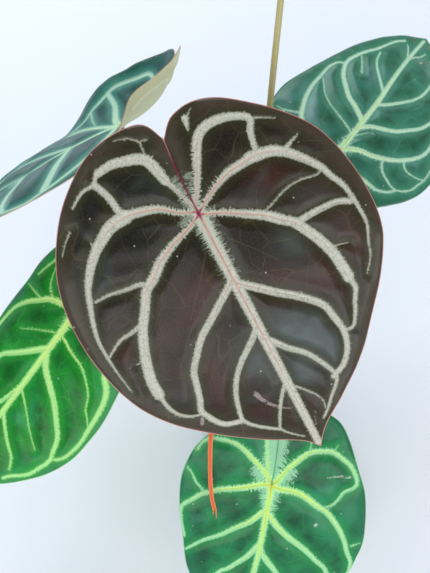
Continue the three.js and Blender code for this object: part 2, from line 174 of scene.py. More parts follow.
leaves = dict(
    main=dict(
        joint=(-45, -29, 368), heading=304.2, droop=33.5, roll=19.2,
        frontCurl=(-0.0006, -0.0006), lobeCurl=(-0.0006, -0.0006), tipBend=0.0022, lobeBend=0.001,
        socket=(-2, -4), rise=(-6, 4, 106), bend=40, petiole=(4.2, 3.2, 4.2), quilt=1.4, slot="bronze",
        slitBow=1.2, narrow=0.48, meshScale=1.2,
        halfA=[(-2.2, -53), (3, -65), (11, -70), (27, -71), (45, -67), (64, -56), (82, -39), (98, -14),
               (107, 13), (109, 44), (105, 72), (96, 97), (82, 119), (68, 135), (53, 150), (35, 164),
               (19, 173), (7, 180), (0, 188)],
        halfB=[(-3.4, -53), (-8, -59), (-15, -64), (-29, -66), (-45, -61), (-63, -48), (-81, -31), (-95, -12),
               (-103, 12), (-106, 40), (-103, 66), (-91, 91), (-76, 113), (-56, 137), (-32, 156), (-11, 172),
               (0, 188)],
        veins=[
            ([(0, 0), (0, 60), (0, 120), (0, 172), (0, 184)], (9.5, 5.5), (2.6, 0.5)),
            ([(1, -4), (3, -10), (6, -21), (10, -31), (13, -44), (18, -49), (27, -52), (36, -54), (46, -53),
              (52, -48), (61, -47), (71, -41)], (6.8, 1.6), (1, 0)),
            ([(9, -28), (13, -44), (18, -49), (27, -52), (36, -54), (46, -53)], (8.2, 4.8)),
            ([(51, -47), (47, -37), (45, -24), (43, -20)], (4.1, 4.6)),
            ([(13, -46), (12, -58), (7, -57)], (1.8, 0.8)),
            ([(12, -58), (18, -64), (27, -67)], (1.4, 0.5)),
            ([(2, -2), (11, -6), (21, -14), (32, -18), (43, -20), (54, -19), (62, -15), (71, -9), (80, 0),
              (87, 10), (91, 20), (95, 31), (98, 44), (98, 58), (97, 70), (95, 85)], (8.2, 0.8), (2, 0)),
            ([(43, -20), (54, -19), (62, -15), (71, -9), (80, 0), (87, 10)], (8.8, 4.1)),
            ([(71, -9), (71, -16)], (3.2, 0.8)),
            ([(80, -28), (87, -22), (92, -16)], (1.6, 0.6)),
            ([(2, 2), (11, 6), (23, 10), (36, 16), (46, 24), (54, 29), (61, 40), (68, 50), (73, 61), (77, 72),
              (80, 85), (80, 95), (79, 106), (75, 115), (68, 121), (62, 123)], (8.2, 1.6), (2.2, 0)),
            ([(54, 29), (61, 40), (68, 50), (73, 61), (77, 72), (80, 85), (80, 95)], (5.5, 6.8)),
            ([(54, 24), (57, 23), (66, 22), (77, 20), (87, 20)], (3.6, 2)),
            ([(67, 47), (75, 49), (84, 50), (92, 54), (98, 58)], (3.6, 1.6)),
            ([(79, 69), (83, 70)], (2, 0.6)),
            ([(0, 47), (4, 51), (14, 58), (27, 67), (37, 74), (45, 83), (52, 92), (55, 102), (58, 113),
              (61, 120), (59, 127), (55, 135), (50, 140), (41, 143)], (4.9, 3.6), (0.8, 0)),
            ([(0, 83), (4, 88), (11, 94), (21, 102), (29, 111), (34, 120), (37, 129), (39, 138), (39, 144),
              (34, 151), (27, 157), (20, 162)], (4.3, 2.2), (0.4, 0)),
            ([(0, 128), (4, 133), (9, 140), (14, 149), (17, 156), (19, 162), (14, 169), (7, 175)],
              (3.2, 1.2)),
            ([(-2, -5), (-7, -14), (-11, -22), (-15, -31), (-20, -40), (-26, -46), (-34, -48), (-43, -47),
              (-51, -44), (-58, -39), (-55, -32), (-53, -25), (-52, -19)], (7.5, 3.6), (1.2, 0)),
            ([(-12, -24), (-20, -40), (-26, -46), (-34, -48), (-43, -47)], (6.8, 5.5)),
            ([(-58, -39), (-66, -35), (-73, -31)], (1.8, 0.7)),
            ([(-21, -58), (-20, -54), (-19, -50)], (4.6, 1.2)),
            ([(-21, -57), (-27, -62)], (1.6, 0.6)),
            ([(-2, -1), (-9, -5), (-18, -10), (-29, -14), (-39, -15), (-50, -16), (-59, -14), (-68, -9),
              (-75, -2), (-80, 4), (-85, 11), (-88, 19), (-92, 27), (-94, 36), (-95, 47), (-95, 58),
              (-91, 69), (-88, 79), (-81, 89)], (8.2, 0.7), (2, 0)),
            ([(-46, -16), (-59, -14), (-68, -9), (-75, -2), (-80, 4), (-85, 11)], (7.5, 4.4)),
            ([(-68, -9), (-73, -12), (-81, -15)], (4.1, 0.8)),
            ([(-2, 2), (-7, 4), (-16, 8), (-27, 15), (-37, 21), (-46, 29), (-53, 35), (-58, 44), (-62, 52),
              (-66, 63), (-68, 74), (-69, 85), (-70, 94), (-66, 102), (-62, 111), (-57, 118), (-51, 117)],
              (8.2, 2.2), (2.2, 0)),
            ([(-53, 35), (-58, 44), (-62, 52), (-66, 63), (-68, 74), (-69, 85)], (6.2, 6.8)),
            ([(-37, 20), (-46, 17), (-57, 13), (-68, 12), (-79, 14), (-84, 13)], (1.6, 1.4)),
            ([(-53, 36), (-62, 35), (-73, 35), (-84, 36), (-92, 40)], (4.4, 3.6)),
            ([(-66, 61), (-73, 62), (-79, 64)], (2, 0.5)),
            ([(0, 51), (-4, 55), (-11, 61), (-21, 70), (-32, 79), (-41, 88), (-46, 95), (-48, 104),
              (-50, 115), (-49, 124), (-46, 131), (-41, 137), (-36, 140), (-30, 142)], (5.2, 3.8), (0.8, 0)),
            ([(0, 94), (-4, 99), (-11, 108), (-20, 117), (-26, 127), (-30, 136), (-32, 143), (-28, 149),
              (-22, 155), (-18, 160), (-11, 167)], (4.4, 1.6), (0.4, 0)),
            ([(0, 131), (-4, 136), (-9, 142), (-14, 149), (-16, 156), (-15, 160)], (2, 1)),
        ],
        halos=[([(0, 0), (0, 26), (0, 48)], (14, 7)), ([(0, 0), (-8, 3)], (9, 4)), ([(2, -4), (3, -14),
               (3, -27)], (7, 3)), ([(-3, -6), (-5, -16), (-7, -26)], (6, 2)), ([(5, 0), (12, 0)], (7, 4))],
        threads=[([(8, 25), (22, 42), (38, 60), (45, 68)], (0.7, 0.4)), ([(-8, 22), (-20, 36), (-32, 52)],
                 (0.7, 0.4)), ([(30, -30), (48, -34), (60, -34)], (0.6, 0.3)), ([(34, -18), (46, -38)],
                 (0.6, 0.4)), ([(70, 20), (72, 40), (80, 46)], (0.6, 0.3)), ([(20, 78), (26, 96), (34, 108)],
                 (0.6, 0.3)), ([(-30, -14), (-44, -30), (-52, -32)], (0.6, 0.3)), ([(-24, 76), (-26, 96),
                 (-24, 112)], (0.6, 0.3)), ([(-62, 12), (-70, 30), (-82, 50)], (0.6, 0.3))],
        marks=[([(23, 127), (21, 133), (17, 140), (12, 146), (4, 150)], (3.6, 0.5)), ([(63, 126), (65, 130)],
               (2, 2.6)), ([(-35, 78), (-36, 79)], (1.4, 1.4)), ([(-8, 158), (-4, 170)], (1.4, 0.4)),
               ([(16, 75), (17, 76)], (1, 1))],
        # dark patches: painted shade on the lamina
        dark=[(5, -45, 16), (32, -34, 20), (44, -4, 20), (80, 15, 16), (63, -43, 18), (20, 22, 14),
              (58, 60, 16)],
        ruddy=[(-52, 1, 18), (-84, 28, 18), (-80, 58, 22), (-52, 80, 20), (48, 62, 22), (43, 104, 20),
               (28, 146, 20), (-9, 154, 14), (84, 60, 16), (18, 45, 16), (-22, 66, 14)],
        # pale patches: where the painted reflection of the sky is strongest
        pale=[(-20, 115, 22), (-41, 126, 16), (-11, 97, 16), (14, 104, 14), (-47, 46, 14), (-36, 98, 16),
              (-4, 130, 14)],
    ),
    front=dict(
        joint=(10, -135, 167), heading=259, droop=46.7, roll=-12.6,
        frontCurl=(-0.001, -0.001), lobeCurl=(-0.001, -0.001), tipBend=0.002, lobeBend=0.001,
        socket=(2, -12.5), rise=(1, -22, 50), bend=32, petiole=(3.6, 2.8, 3.7), slot="green",
        halfA=[(0.8, -44), (10, -55), (22, -58), (35, -54), (46, -46), (54, -37), (64, -24), (70, -6),
               (71, 9),
               (69, 29), (64, 50), (59, 73), (55, 85), (46, 104), (35, 122), (21, 138), (8, 149), (1, 155)],
        halfB=[(-0.8, -44), (-8, -57), (-18, -64), (-32, -63), (-46, -56), (-56, -42), (-66, -21), (-76, 1),
               (-81, 23), (-83, 46), (-80, 61), (-76, 78), (-69, 96), (-57, 114), (-41, 132), (-24, 145),
               (-9, 152), (1, 155)],
        veins=[
            ([(0, 0), (1, 60), (2, 85), (1, 150)], (6.5, 4), (3, 1)),
            ([(3, -3), (6, -18), (9, -37)], (3, 4), (0.5, 0)),
            ([(-1, -1), (-4, -3), (-10, -13), (-17, -21), (-26, -29), (-36, -31), (-44, -31), (-53, -26),
              (-60, -21), (-65, -14), (-68, -7), (-66, -2), (-59, 2), (-55, 9), (-51, 14), (-46, 16)],
              (5.5, 2.2), (1.6, 0)),
            ([(-46, -33), (-48, -37)], (1.6, 0.5)),
            ([(-26, -40), (-26, -31)], (1, 1.6)),
            ([(-1, 1), (-7, 3), (-16, 4), (-24, 6), (-31, 10), (-40, 16), (-47, 20), (-54, 27), (-61, 36),
              (-67, 46), (-71, 56), (-76, 66), (-75, 80), (-68, 97)], (6, 2.2), (2.2, 0.4)),
            ([(-74, 50), (-81, 47)], (2.2, 0.6)),
            ([(0, 24), (-4, 29), (-10, 36), (-19, 44), (-29, 51), (-37, 57), (-47, 66), (-56, 74), (-60, 86),
              (-58, 100), (-50, 115)], (5.5, 2.4), (1.6, 0)),
            ([(1, 55), (-1, 61), (-7, 69), (-13, 76), (-16, 80), (-26, 95), (-30, 112), (-24, 130)], (5, 2),
              (1.2, 0)),
            ([(1, -2), (4, -6), (10, -13), (19, -21), (26, -27), (33, -31), (43, -33), (53, -33), (59, -28),
              (61, -23)], (5.5, 2), (1.6, 0)),
            ([(2, 0), (10, 1), (19, 4), (29, 6), (39, 8), (47, 11), (54, 14), (61, 20), (66, 24), (68, 29),
              (66, 40), (62, 52)], (6, 2), (2.2, 0)),
            ([(53, 10), (59, 4), (63, -3), (67, -7)], (2.4, 1.6)),
            ([(1, 22), (6, 27), (13, 34), (24, 41), (34, 48), (46, 54), (54, 60), (59, 64)], (5.5, 2.4),
              (1.6, 0)),
            ([(1, 52), (4, 57), (10, 66), (17, 73), (24, 80), (29, 83), (37, 95), (42, 108), (40, 120)],
              (5, 2), (1.2, 0)),
            ([(1, 92), (3, 101), (10, 112), (16, 126), (15, 138)], (3.4, 1.4), (0.6, 0)),
        ],
        halos=[([(0, 0), (0, 12), (0, 28)], (19, 8)), ([(0, 0), (1, -18), (1, -38)], (17, 17)), ([(-14, -11),
               (0, 0), (14, -11)], (8, 8)), ([(-12, 3), (12, 3)], (7, 7))],
        threads=[([(-30, -14), (-22, -10), (-16, 3)], (0.6, 0.3)), ([(20, -20), (38, -8)], (0.5, 0.3))],
        marks=[([(-61, -11), (-52, -12), (-43, -10)], (2, 0.8)), ([(-41, 31), (-40, 32)], (2.6, 2.6)),
               ([(57, 41), (58, 46)], (1, 0.5))],
    ),
    left=dict(
        joint=(-139, -21, 247), heading=227.1, droop=28, roll=-11.2,
        frontCurl=(-0.009, -0.0045), lobeCurl=(-0.009, -0.0045), tipBend=0.0008, lobeBend=0.001,
        socket=(-11.5, -2.5), rise=(-26, 2, 92), bend=36, petiole=(3.6, 3, 3.9), quilt=1.7, slot="bright",
        halfA=[(0.8, -42), (8, -54), (18, -57), (30, -52), (42, -41), (52, -25), (57, -6), (56, 12), (57, 36),
               (56, 60), (54, 85), (48, 110), (39, 135), (27, 158), (15, 176), (5, 190)],
        halfB=[(-0.8, -42), (-7, -54), (-17, -59), (-30, -54), (-43, -39), (-54, -17), (-61, 9), (-65, 36),
               (-69, 60), (-69, 80), (-66, 102), (-56, 124), (-40, 144), (-25, 158), (-9, 174), (5, 190)],
        veins=[
            ([(0, 0), (0, 80), (1, 120), (3, 160), (5, 186)], (7, 3), (3, 1)),
            ([(-1, -2), (-8, -14), (-18, -26), (-30, -32), (-40, -28), (-48, -12), (-52, 4)], (5, 1.8),
              (1.4, 0)),
            ([(-1, 1), (-15, 4), (-30, 12), (-42, 22), (-50, 34), (-56, 40), (-60, 49), (-62, 60), (-63, 73),
              (-64, 85), (-63, 94), (-60, 104), (-55, 110)], (6, 2.4), (2, 0)),
            ([(0, 27), (-7, 29), (-16, 33), (-29, 37), (-39, 44), (-47, 52), (-52, 62), (-57, 67), (-61, 72)],
              (2.4, 1.4), (0.3, 0)),
            ([(0, 44), (-7, 55), (-18, 64), (-29, 73), (-39, 84), (-47, 94), (-50, 104), (-52, 113),
              (-49, 122), (-44, 133), (-34, 142), (-30, 147)], (5, 2.4), (1.6, 0)),
            ([(-1, 80), (-5, 83), (-14, 91), (-25, 102), (-38, 113)], (2, 1), (0.2, 0)),
            ([(0, 103), (-9, 113), (-18, 122), (-26, 129), (-30, 138)], (3.6, 1.8), (0.8, 0)),
            ([(1, -2), (8, -14), (18, -26), (28, -32), (38, -26), (45, -12), (50, 3)], (5, 1.8), (1.4, 0)),
            ([(0, 3), (11, 7), (24, 11), (33, 18), (40, 24), (46, 31), (50, 40), (52, 60), (49, 85)],
              (5.5, 2.2), (2, 0)),
            ([(31, 16), (42, 15), (53, 14)], (2.4, 1)),
            ([(24, 9), (33, 2), (40, -14)], (2, 1)),
            ([(2, 28), (17, 36), (31, 45)], (1.4, 0.7)),
            ([(1, 42), (15, 56), (24, 64), (31, 71), (38, 90), (40, 110), (36, 125)], (5, 2.2), (1.4, 0)),
            ([(1, 80), (7, 100), (14, 115), (20, 135), (18, 150)], (3.8, 1.8), (0.8, 0)),
        ],
    ),
    right=dict(
        joint=(66, 103, 286), heading=53.8, droop=-8.2, roll=10.1,
        frontCurl=(-0.001, -0.001), lobeCurl=(-0.001, -0.001), tipBend=0.0012, lobeBend=0.001,
        socket=(6.5, 9.5), rise=(14, 24, 96), bend=38, petiole=(3.6, 3, 3.9), slot="teal",
        halfA=[(0.7, -34), (8, -43), (20, -46), (34, -40), (46, -27), (60, -12), (69, 0), (75, 14), (77, 32),
               (75, 58), (69, 84), (59, 108), (45, 130), (29, 149), (12, 163), (-4, 171)],
        halfB=[(-0.7, -34), (-10, -43), (-24, -46), (-39, -42), (-53, -32), (-65, -15), (-72, 4), (-75, 28),
               (-72, 47), (-65, 72), (-59, 90), (-51, 110), (-43, 125), (-33, 140), (-22, 154), (-12, 163),
               (-4, 171)],
        veins=[
            ([(0, 0), (0, 63), (-2.5, 97), (-4, 130), (-4, 166)], (6, 3), (2.6, 1)),
            ([(-1, 1), (-18, 3), (-32, 6), (-43, 13), (-49, 25), (-53, 37), (-55, 50), (-55, 63), (-55, 75),
              (-52, 85), (-48, 88)], (5.5, 2), (1.8, 0)),
            ([(-48, 17), (-60, 12), (-67, 12)], (2.6, 1)),
            ([(-1, 26), (-7, 30), (-20, 36), (-33, 42), (-42, 49), (-48, 57), (-52, 62)], (2, 1.2)),
            ([(0, 41), (-3, 45), (-13, 52), (-23, 58), (-32, 67), (-39, 75), (-43, 83), (-45, 92), (-42, 103),
              (-37, 113), (-32, 121), (-28, 130), (-23, 142), (-17, 150)], (4.6, 2), (1.2, 0)),
            ([(-28, 88), (-33, 97), (-38, 105)], (1.6, 1)),
            ([(-2, 82), (-12, 93), (-20, 102), (-25, 110), (-27, 120)], (3.4, 1.6), (0.5, 0)),
            ([(-3, 128), (-8, 140), (-13, 148)], (2.4, 1.2)),
            ([(-1, -1), (-10, -11), (-22, -18), (-36, -20), (-48, -12), (-56, 0), (-60, 12)], (4.6, 1.6),
              (1, 0)),
            ([(1, 6), (3, 10), (13, 16), (23, 18), (33, 22), (43, 28), (52, 37), (57, 45), (59, 53), (58, 65),
              (54, 80)], (5.5, 2), (1.6, 0)),
            ([(33, 21), (38, 12), (47, 6), (55, 3), (62, 6), (67, 12), (69, 20), (71, 28), (70, 40),
              (66, 52)], (2.4, 1.4)),
            ([(48, 32), (52, 26), (58, 24), (67, 25), (70, 27)], (2, 1.4)),
            ([(1, -1), (4, -2), (15, -6), (33, -6), (43, -7), (52, -3), (57, 3)], (5, 2), (1.2, 0)),
            ([(0, 34), (7, 42), (17, 47), (27, 52), (35, 60), (42, 68), (46, 77), (48, 90), (46, 104),
              (41, 116)], (4.6, 2), (1.2, 0)),
            ([(1, 25), (10, 37)], (1.6, 0.8)),
            ([(0, 66), (8, 73), (15, 82), (22, 92), (26, 102), (27, 112), (26, 124), (20, 137), (13, 148)],
              (3.8, 1.8), (0.8, 0)),
            ([(-4, 128), (-2, 137), (3, 145), (5, 152)], (2.4, 1.2)),
        ],
        marks=[([(7, 136), (8, 137)], (2.6, 2.6))],
    ),
    back=dict(
        joint=(-113, 116, 307), heading=199.1, droop=12.9, roll=32.1,
        frontCurl=(-0.001, -0.002), lobeCurl=(0.011, 0.0125), tipBend=0.0022, lobeBend=-0.012,
        turnFrom=(55, 33), turnOver=70,
        socket=(-8.5, 8), rise=(-20, 18, 104), bend=38, petiole=(3.6, 3, 3.9), slot="dusk",
        halfA=[(0.8, -50), (7, -68), (16, -78), (29, -77), (44, -68), (57, -56), (66, -41), (72, -18),
               (74, 10), (74, 40), (70, 70), (62, 100), (49, 128), (31, 153), (13, 172), (0, 182)],
        halfB=[(-0.8, -50), (-8, -77), (-18, -86), (-32, -83), (-50, -67), (-62, -46), (-69, -20), (-70, 10),
               (-69, 40), (-69, 70), (-65, 100), (-53, 130), (-34, 154), (-14, 173), (0, 182)],
        veins=[
            ([(0, 0), (0, 60), (2, 110), (0, 178)], (6, 3), (2.4, 0.8)),
            ([(1, 0), (16, 1), (30, -1), (43, -3), (60, -1)], (6, 4.6), (1.4, 0)),
            ([(55, 19), (42, 20), (28, 19)], (2.6, 1.2)),
            ([(1, -3), (8, -18), (18, -34), (30, -46), (42, -48), (51, -37), (59, -22), (61, -7), (58, 8),
              (57, 18), (54, 24), (53, 32), (59, 48), (54, 62)], (5, 2.6), (1, 0)),
            ([(1, 3), (12, 12), (21, 19), (36, 32), (50, 44), (56, 60), (55, 80), (48, 96)], (5.5, 2),
              (1.6, 0)),
            ([(0, 42), (15, 58), (32, 76), (42, 92), (44, 110), (36, 126)], (5, 2), (1.2, 0)),
            ([(1, 86), (14, 104), (24, 122), (26, 138)], (3.8, 1.6), (0.6, 0)),
            ([(-1, -3), (-8, -20), (-18, -40), (-30, -56), (-42, -56), (-52, -40), (-58, -20)], (5, 2),
              (1, 0)),
            ([(-12, -56), (-20, -60), (-28, -66)], (3, 1.4)),
            ([(-1, 2), (-16, 6), (-30, 14), (-45, 28), (-56, 44), (-62, 60), (-64, 72), (-66, 86), (-62, 100),
              (-56, 112), (-46, 130)], (5.5, 2.2), (1.6, 0)),
            ([(0, 45), (-15, 51), (-29, 57), (-46, 63), (-62, 70)], (5.5, 7), (1.2, 0)),
            ([(1, 90), (-13, 97), (-28, 103), (-48, 108), (-56, 108)], (4.6, 6), (0.8, 0)),
            ([(1, 130), (-12, 138), (-20, 150)], (2.6, 1.2)),
        ],
    ),
)

# What a leaf has where it says nothing else
usualLeaf = dict(slitBow=0, narrow=1.05, meshScale=1, quilt=1.5, turnFrom=(0, 0), turnOver=60,
                 halos=[([(0, 0), (0, 20)], (12, 7))], threads=[], marks=[], dark=[], ruddy=[], pale=[])
leaves = {name: {**usualLeaf, **leaf} for name, leaf in leaves.items()}


def smoothStep(x):
    t = np.clip(x, 0, 1)
    return t * t * (3 - 2 * t)


# Spline through the points, with a point about every step
def smoothLine(points, step):
    pts = np.array([points[0], *points, points[-1]], float)
    out = []
    for p0, p1, p2, p3 in zip(pts, pts[1:], pts[2:], pts[3:]):
        count = max(1, round(float(np.linalg.norm(p2 - p1)) / step))
        t = np.arange(count)[:, None] / count
        out.append(0.5 * (2 * p1 + (p2 - p0) * t + (2 * p0 - 5 * p1 + 4 * p2 - p3) * t ** 2
                          + (3 * p1 - p0 - 3 * p2 + p3) * t ** 3))
    return np.concatenate([*out, pts[-1:]])


def leafFrame(leaf):
    h, d, r = (math.radians(leaf[k]) for k in ("heading", "droop", "roll"))
    along = Vector((math.cos(d) * math.cos(h), math.cos(d) * math.sin(h), -math.sin(d)))
    level = Vector((math.sin(h), -math.cos(h), 0))
    normal = (level.cross(along) * math.cos(r) + level * math.sin(r)).normalized()
    return Vector(leaf["joint"]), along.cross(normal), along, normal


relief = dict(wave=1.3, ripple=0.35, groove=0.5, grooveHalf=1.6)  # mm


# The same bending rule as the solid blades, with a lift above the middle surface
def onBlade(leaf, u, v, lift):
    origin, across, along, normal = (np.array(part) for part in leafFrame(leaf))
    side = np.where(u > 0, 0, 1)
    start = np.array(leaf["turnFrom"])[side]
    share = smoothStep((start - v) / leaf["turnOver"])
    curl = np.array(leaf["frontCurl"])[side] * (1 - share) + np.array(leaf["lobeCurl"])[side] * share
    wave = relief["wave"] * (np.hypot(u, v) / 110) ** 3 * np.sin(7 * np.arctan2(u, v) + leaf["heading"])
    x = np.sin(curl * u) / curl
    z = (1 - np.cos(curl * u)) / curl + wave + lift
    bend = np.where(v > 0, leaf["tipBend"], leaf["lobeBend"])
    y = (1 / bend + z) * np.sin(bend * v)
    rise = (1 / bend + z) * np.cos(bend * v) - 1 / bend
    return origin + x[:, None] * across + y[:, None] * along + rise[:, None] * normal


# A side vein's band starts narrow at the joint and is widest in its loop, where it is wide enough at all.
# Lengths in mm, most as a factor.
swell = dict(most=1.15, start=6, over=50, fromWidth=4)
# mm along the bands' noise, so that no two bands and no two sides of a band are alike
noiseShift = dict(vein=400, side=17)
# half ribs thinner than this are left out, by a distance that no pattern reaches
noRib = dict(below=0.06, away=50)
noLine = 90  # mm to the nearest line where a leaf has none


# Each line becomes short straight pieces: start, end, half width, half rib, place along
def linePieces(lines, step=2.0, narrow=None):
    rows = []
    for number, line in enumerate(lines):
        pts = smoothLine(line[0], step)
        t = np.linspace(0, 1, len(pts))
        width = line[1][0] + (line[1][1] - line[1][0]) * t
        if narrow and number and line[1][0] >= swell["fromWidth"]:
            share = smoothStep((np.hypot(*pts.T) - swell["start"]) / swell["over"])
            width = width * (narrow + (swell["most"] - narrow) * share)
        rib = line[2][0] + (line[2][1] - line[2][0]) * np.clip(t * 1.4, 0, 1) if len(line) > 2 else t * 0
        lengths = np.hypot(*np.diff(pts, axis=0).T)
        run = np.concatenate([[0], np.cumsum(lengths)]) + noiseShift["vein"] * number
        for i in range(len(pts) - 1):
            rows.append((*pts[i], *pts[i + 1], width[i] / 2, width[i + 1] / 2, rib[i] / 2, rib[i + 1] / 2,
                         run[i], run[i + 1]))
    return np.array(rows, np.float32)


# For each point: how far it is outside the nearest band and rib, where along that band, and on which side
def lineFields(points, rows, chunk=1500):
    edge, rib, along, nearest, sides = [], [], [], [], []
    ax, ay, bx, by, w0, w1, r0, r1, s0, s1 = rows.T
    dx, dy = bx - ax, by - ay
    size = np.maximum(dx * dx + dy * dy, 1e-6)
    for start in range(0, len(points), chunk):
        px, py = points[start:start + chunk].astype(np.float32).T[:, :, None]
        t = np.clip(((px - ax) * dx + (py - ay) * dy) / size, 0, 1)
        qx, qy = ax + t * dx, ay + t * dy
        away = np.hypot(px - qx, py - qy)
        out = away - (w0 + (w1 - w0) * t)
        best = out.argmin(1)
        pick = np.arange(len(best))
        turn = np.sign((px - ax) * dy - (py - ay) * dx)[pick, best]
        edge.append(out[pick, best])
        sides.append(turn)
        along.append((s0 + (s1 - s0) * t)[pick, best] + noiseShift["side"] * turn)
        ribWidth = r0 + (r1 - r0) * t
        ribOut = away - ribWidth + np.where(ribWidth < noRib["below"], noRib["away"], 0)
        rib.append(ribOut.min(1))
        middle = away.argmin(1)
        nearest.append(np.stack([qx[pick, middle], qy[pick, middle], away[pick, middle]], 1))
    return (np.concatenate(part) for part in (edge, rib, along, nearest, sides))


# mm, apart from the count of rings. A line's fine mesh reaches lineReach from it, a band's bandReach.
meshStep = dict(line=0.8, band=1.4, lamina=2.8, spoke=3.0, rings=12, lineReach=1.6, bandReach=5.5)
slit = dict(width=6, over=0.8, under=0.7, shiftA=-0.7, shiftB=1.6)  # mm


# The lobes overlap along the slit: half A's edge rides over half B's, which is tucked under it
def closeSlit(leaf, u, v):
    mouth = (leaf["halfA"][0][0] + leaf["halfB"][0][0]) / 2, leaf["halfA"][0][1]
    share = np.clip(v / mouth[1], 0, 1)
    line = mouth[0] * share
    side = np.where(u > line, 1, -1)
    near = np.exp(-((u - line) / slit["width"]) ** 2) * smoothStep(share * 5) * (v < 0)
    near *= 1 - smoothStep((mouth[1] + 6 - v) / 10)
    aside = np.where(side > 0, slit["shiftA"], slit["shiftB"]) + leaf["slitBow"] * np.sin(math.pi * share)
    return u + near * aside, near * np.where(side > 0, slit["over"], -slit["under"])


def makeBladeMesh(name, leaf):
    outline = np.concatenate([smoothLine(leaf["halfA"], meshStep["spoke"]),
                              smoothLine(leaf["halfB"], meshStep["spoke"])[::-1][1:]])
    spokes, rings = len(outline) - 1, meshStep["rings"]
    rows = linePieces(leaf["veins"], narrow=leaf["narrow"])
    centres = KDTree(len(rows))
    for i, row in enumerate(rows):
        centres.insert(((row[0] + row[2]) / 2, (row[1] + row[3]) / 2, 0), i)
    centres.balance()
    bm = bmesh.new()
    bmesh.ops.create_grid(bm, x_segments=spokes, y_segments=rings, size=0.5)
    for vert in bm.verts:  # the grid becomes a fan that ends on the outline
        spot = outline[round((0.5 - vert.co.x) * spokes)] * (vert.co.y + 0.5)
        vert.co = (*spot, 0)
    bmesh.ops.remove_doubles(bm, verts=bm.verts[:], dist=0.001)
    for _ in range(7):  # halves each edge that is too long, finer where a vein runs
        bmesh.ops.triangulate(bm, faces=bm.faces[:])
        coarse = []
        for edge in bm.edges:
            away = centres.find((edge.verts[0].co + edge.verts[1].co) / 2)[2]
            want = meshStep["line" if away < meshStep["lineReach"] else
                            "band" if away < meshStep["bandReach"] else "lamina"]
            if edge.calc_length() > 1.5 * want * leaf["meshScale"]:
                coarse.append(edge)
        if not coarse:
            break
        bmesh.ops.subdivide_edges(bm, edges=coarse, cuts=1)
    bmesh.ops.triangulate(bm, faces=bm.faces[:])
    bmesh.ops.beautify_fill(bm, faces=bm.faces[:], edges=bm.edges[:])
    inner = [vert for vert in bm.verts if not vert.is_boundary]
    bmesh.ops.smooth_vert(bm, verts=inner, factor=0.5, use_axis_x=True, use_axis_y=True)
    mesh = bpy.data.meshes.new(name)
    bm.to_mesh(mesh)
    free = np.array([not vert.is_boundary for vert in bm.verts])
    bm.free()

    flat = np.empty(len(mesh.vertices) * 3, np.float32)
    mesh.vertices.foreach_get("co", flat)
    flat = flat.reshape(-1, 3)[:, :2]
    nearest = list(lineFields(flat, rows))[3]
    onLine = free & (nearest[:, 2] < 0.3)  # a vein's middle gets its own row of points
    flat[onLine] = nearest[onLine, :2]
    edge, rib, along, nearest, turn = lineFields(flat, rows)
    closed = np.concatenate([[(0, 0)], outline, [(0, 0)]])
    rim = next(lineFields(flat, linePieces([(closed[i:i + 2], (0, 0)) for i in range(len(closed) - 1)], 50)))
    extra = {title: next(lineFields(flat, linePieces(leaf[key]))) if leaf[key] else edge * 0 + noLine
             for title, key in (("markEdge", "marks"), ("threadEdge", "threads"), ("haloEdge", "halos"))}

    u, v = flat.T
    puff = leaf["quilt"] * smoothStep(edge / 8) * smoothStep(rim / 10)
    ripple = relief["ripple"] * np.sin(u / 7.3 + 2 * np.sin(v / 11)) * np.sin(v / 8.1 + leaf["heading"])
    ripple *= smoothStep(edge / 6)
    groove = -relief["groove"] * smoothStep(1 - nearest[:, 2] / relief["grooveHalf"])
    groove *= smoothStep(2.2 - np.hypot(u, v) / 70)
    across, lift = closeSlit(leaf, u, v)
    places = onBlade(leaf, across, v, puff + ripple + groove + lift) * mm
    mesh.vertices.foreach_set("co", places.astype(np.float32).ravel())
    outer = np.where(turn * np.sign(u) > 0, 1.4, 0.4)  # the fringe is longer on the side of the margin
    extra.update(bandEdge=edge, ribEdge=rib, veinAlong=along, rimEdge=rim, fringeShare=outer)
    # patch tones: pale ones strengthen the painted reflection, dark ones are painted shade, ruddy ones are
    # the leaf's own maroon
    for key in ("dark", "ruddy", "pale"):
        extra[key + "Tone"] = sum((np.exp(-((u - x) ** 2 + (v - y) ** 2) / reach ** 2) for x, y, reach
                                   in leaf[key]), u * 0)
    for title, values in extra.items():
        layer = mesh.attributes.new(title, "FLOAT", "POINT")
        layer.data.foreach_set("value", values.astype(np.float32))
    corner = np.empty(len(mesh.loops), np.int32)
    mesh.loops.foreach_get("vertex_index", corner)
    mesh.uv_layers.new(name="leaf").uv.foreach_set("vector", (flat[corner] / 100).astype(np.float32).ravel())
    mesh.shade_smooth()
    return mesh
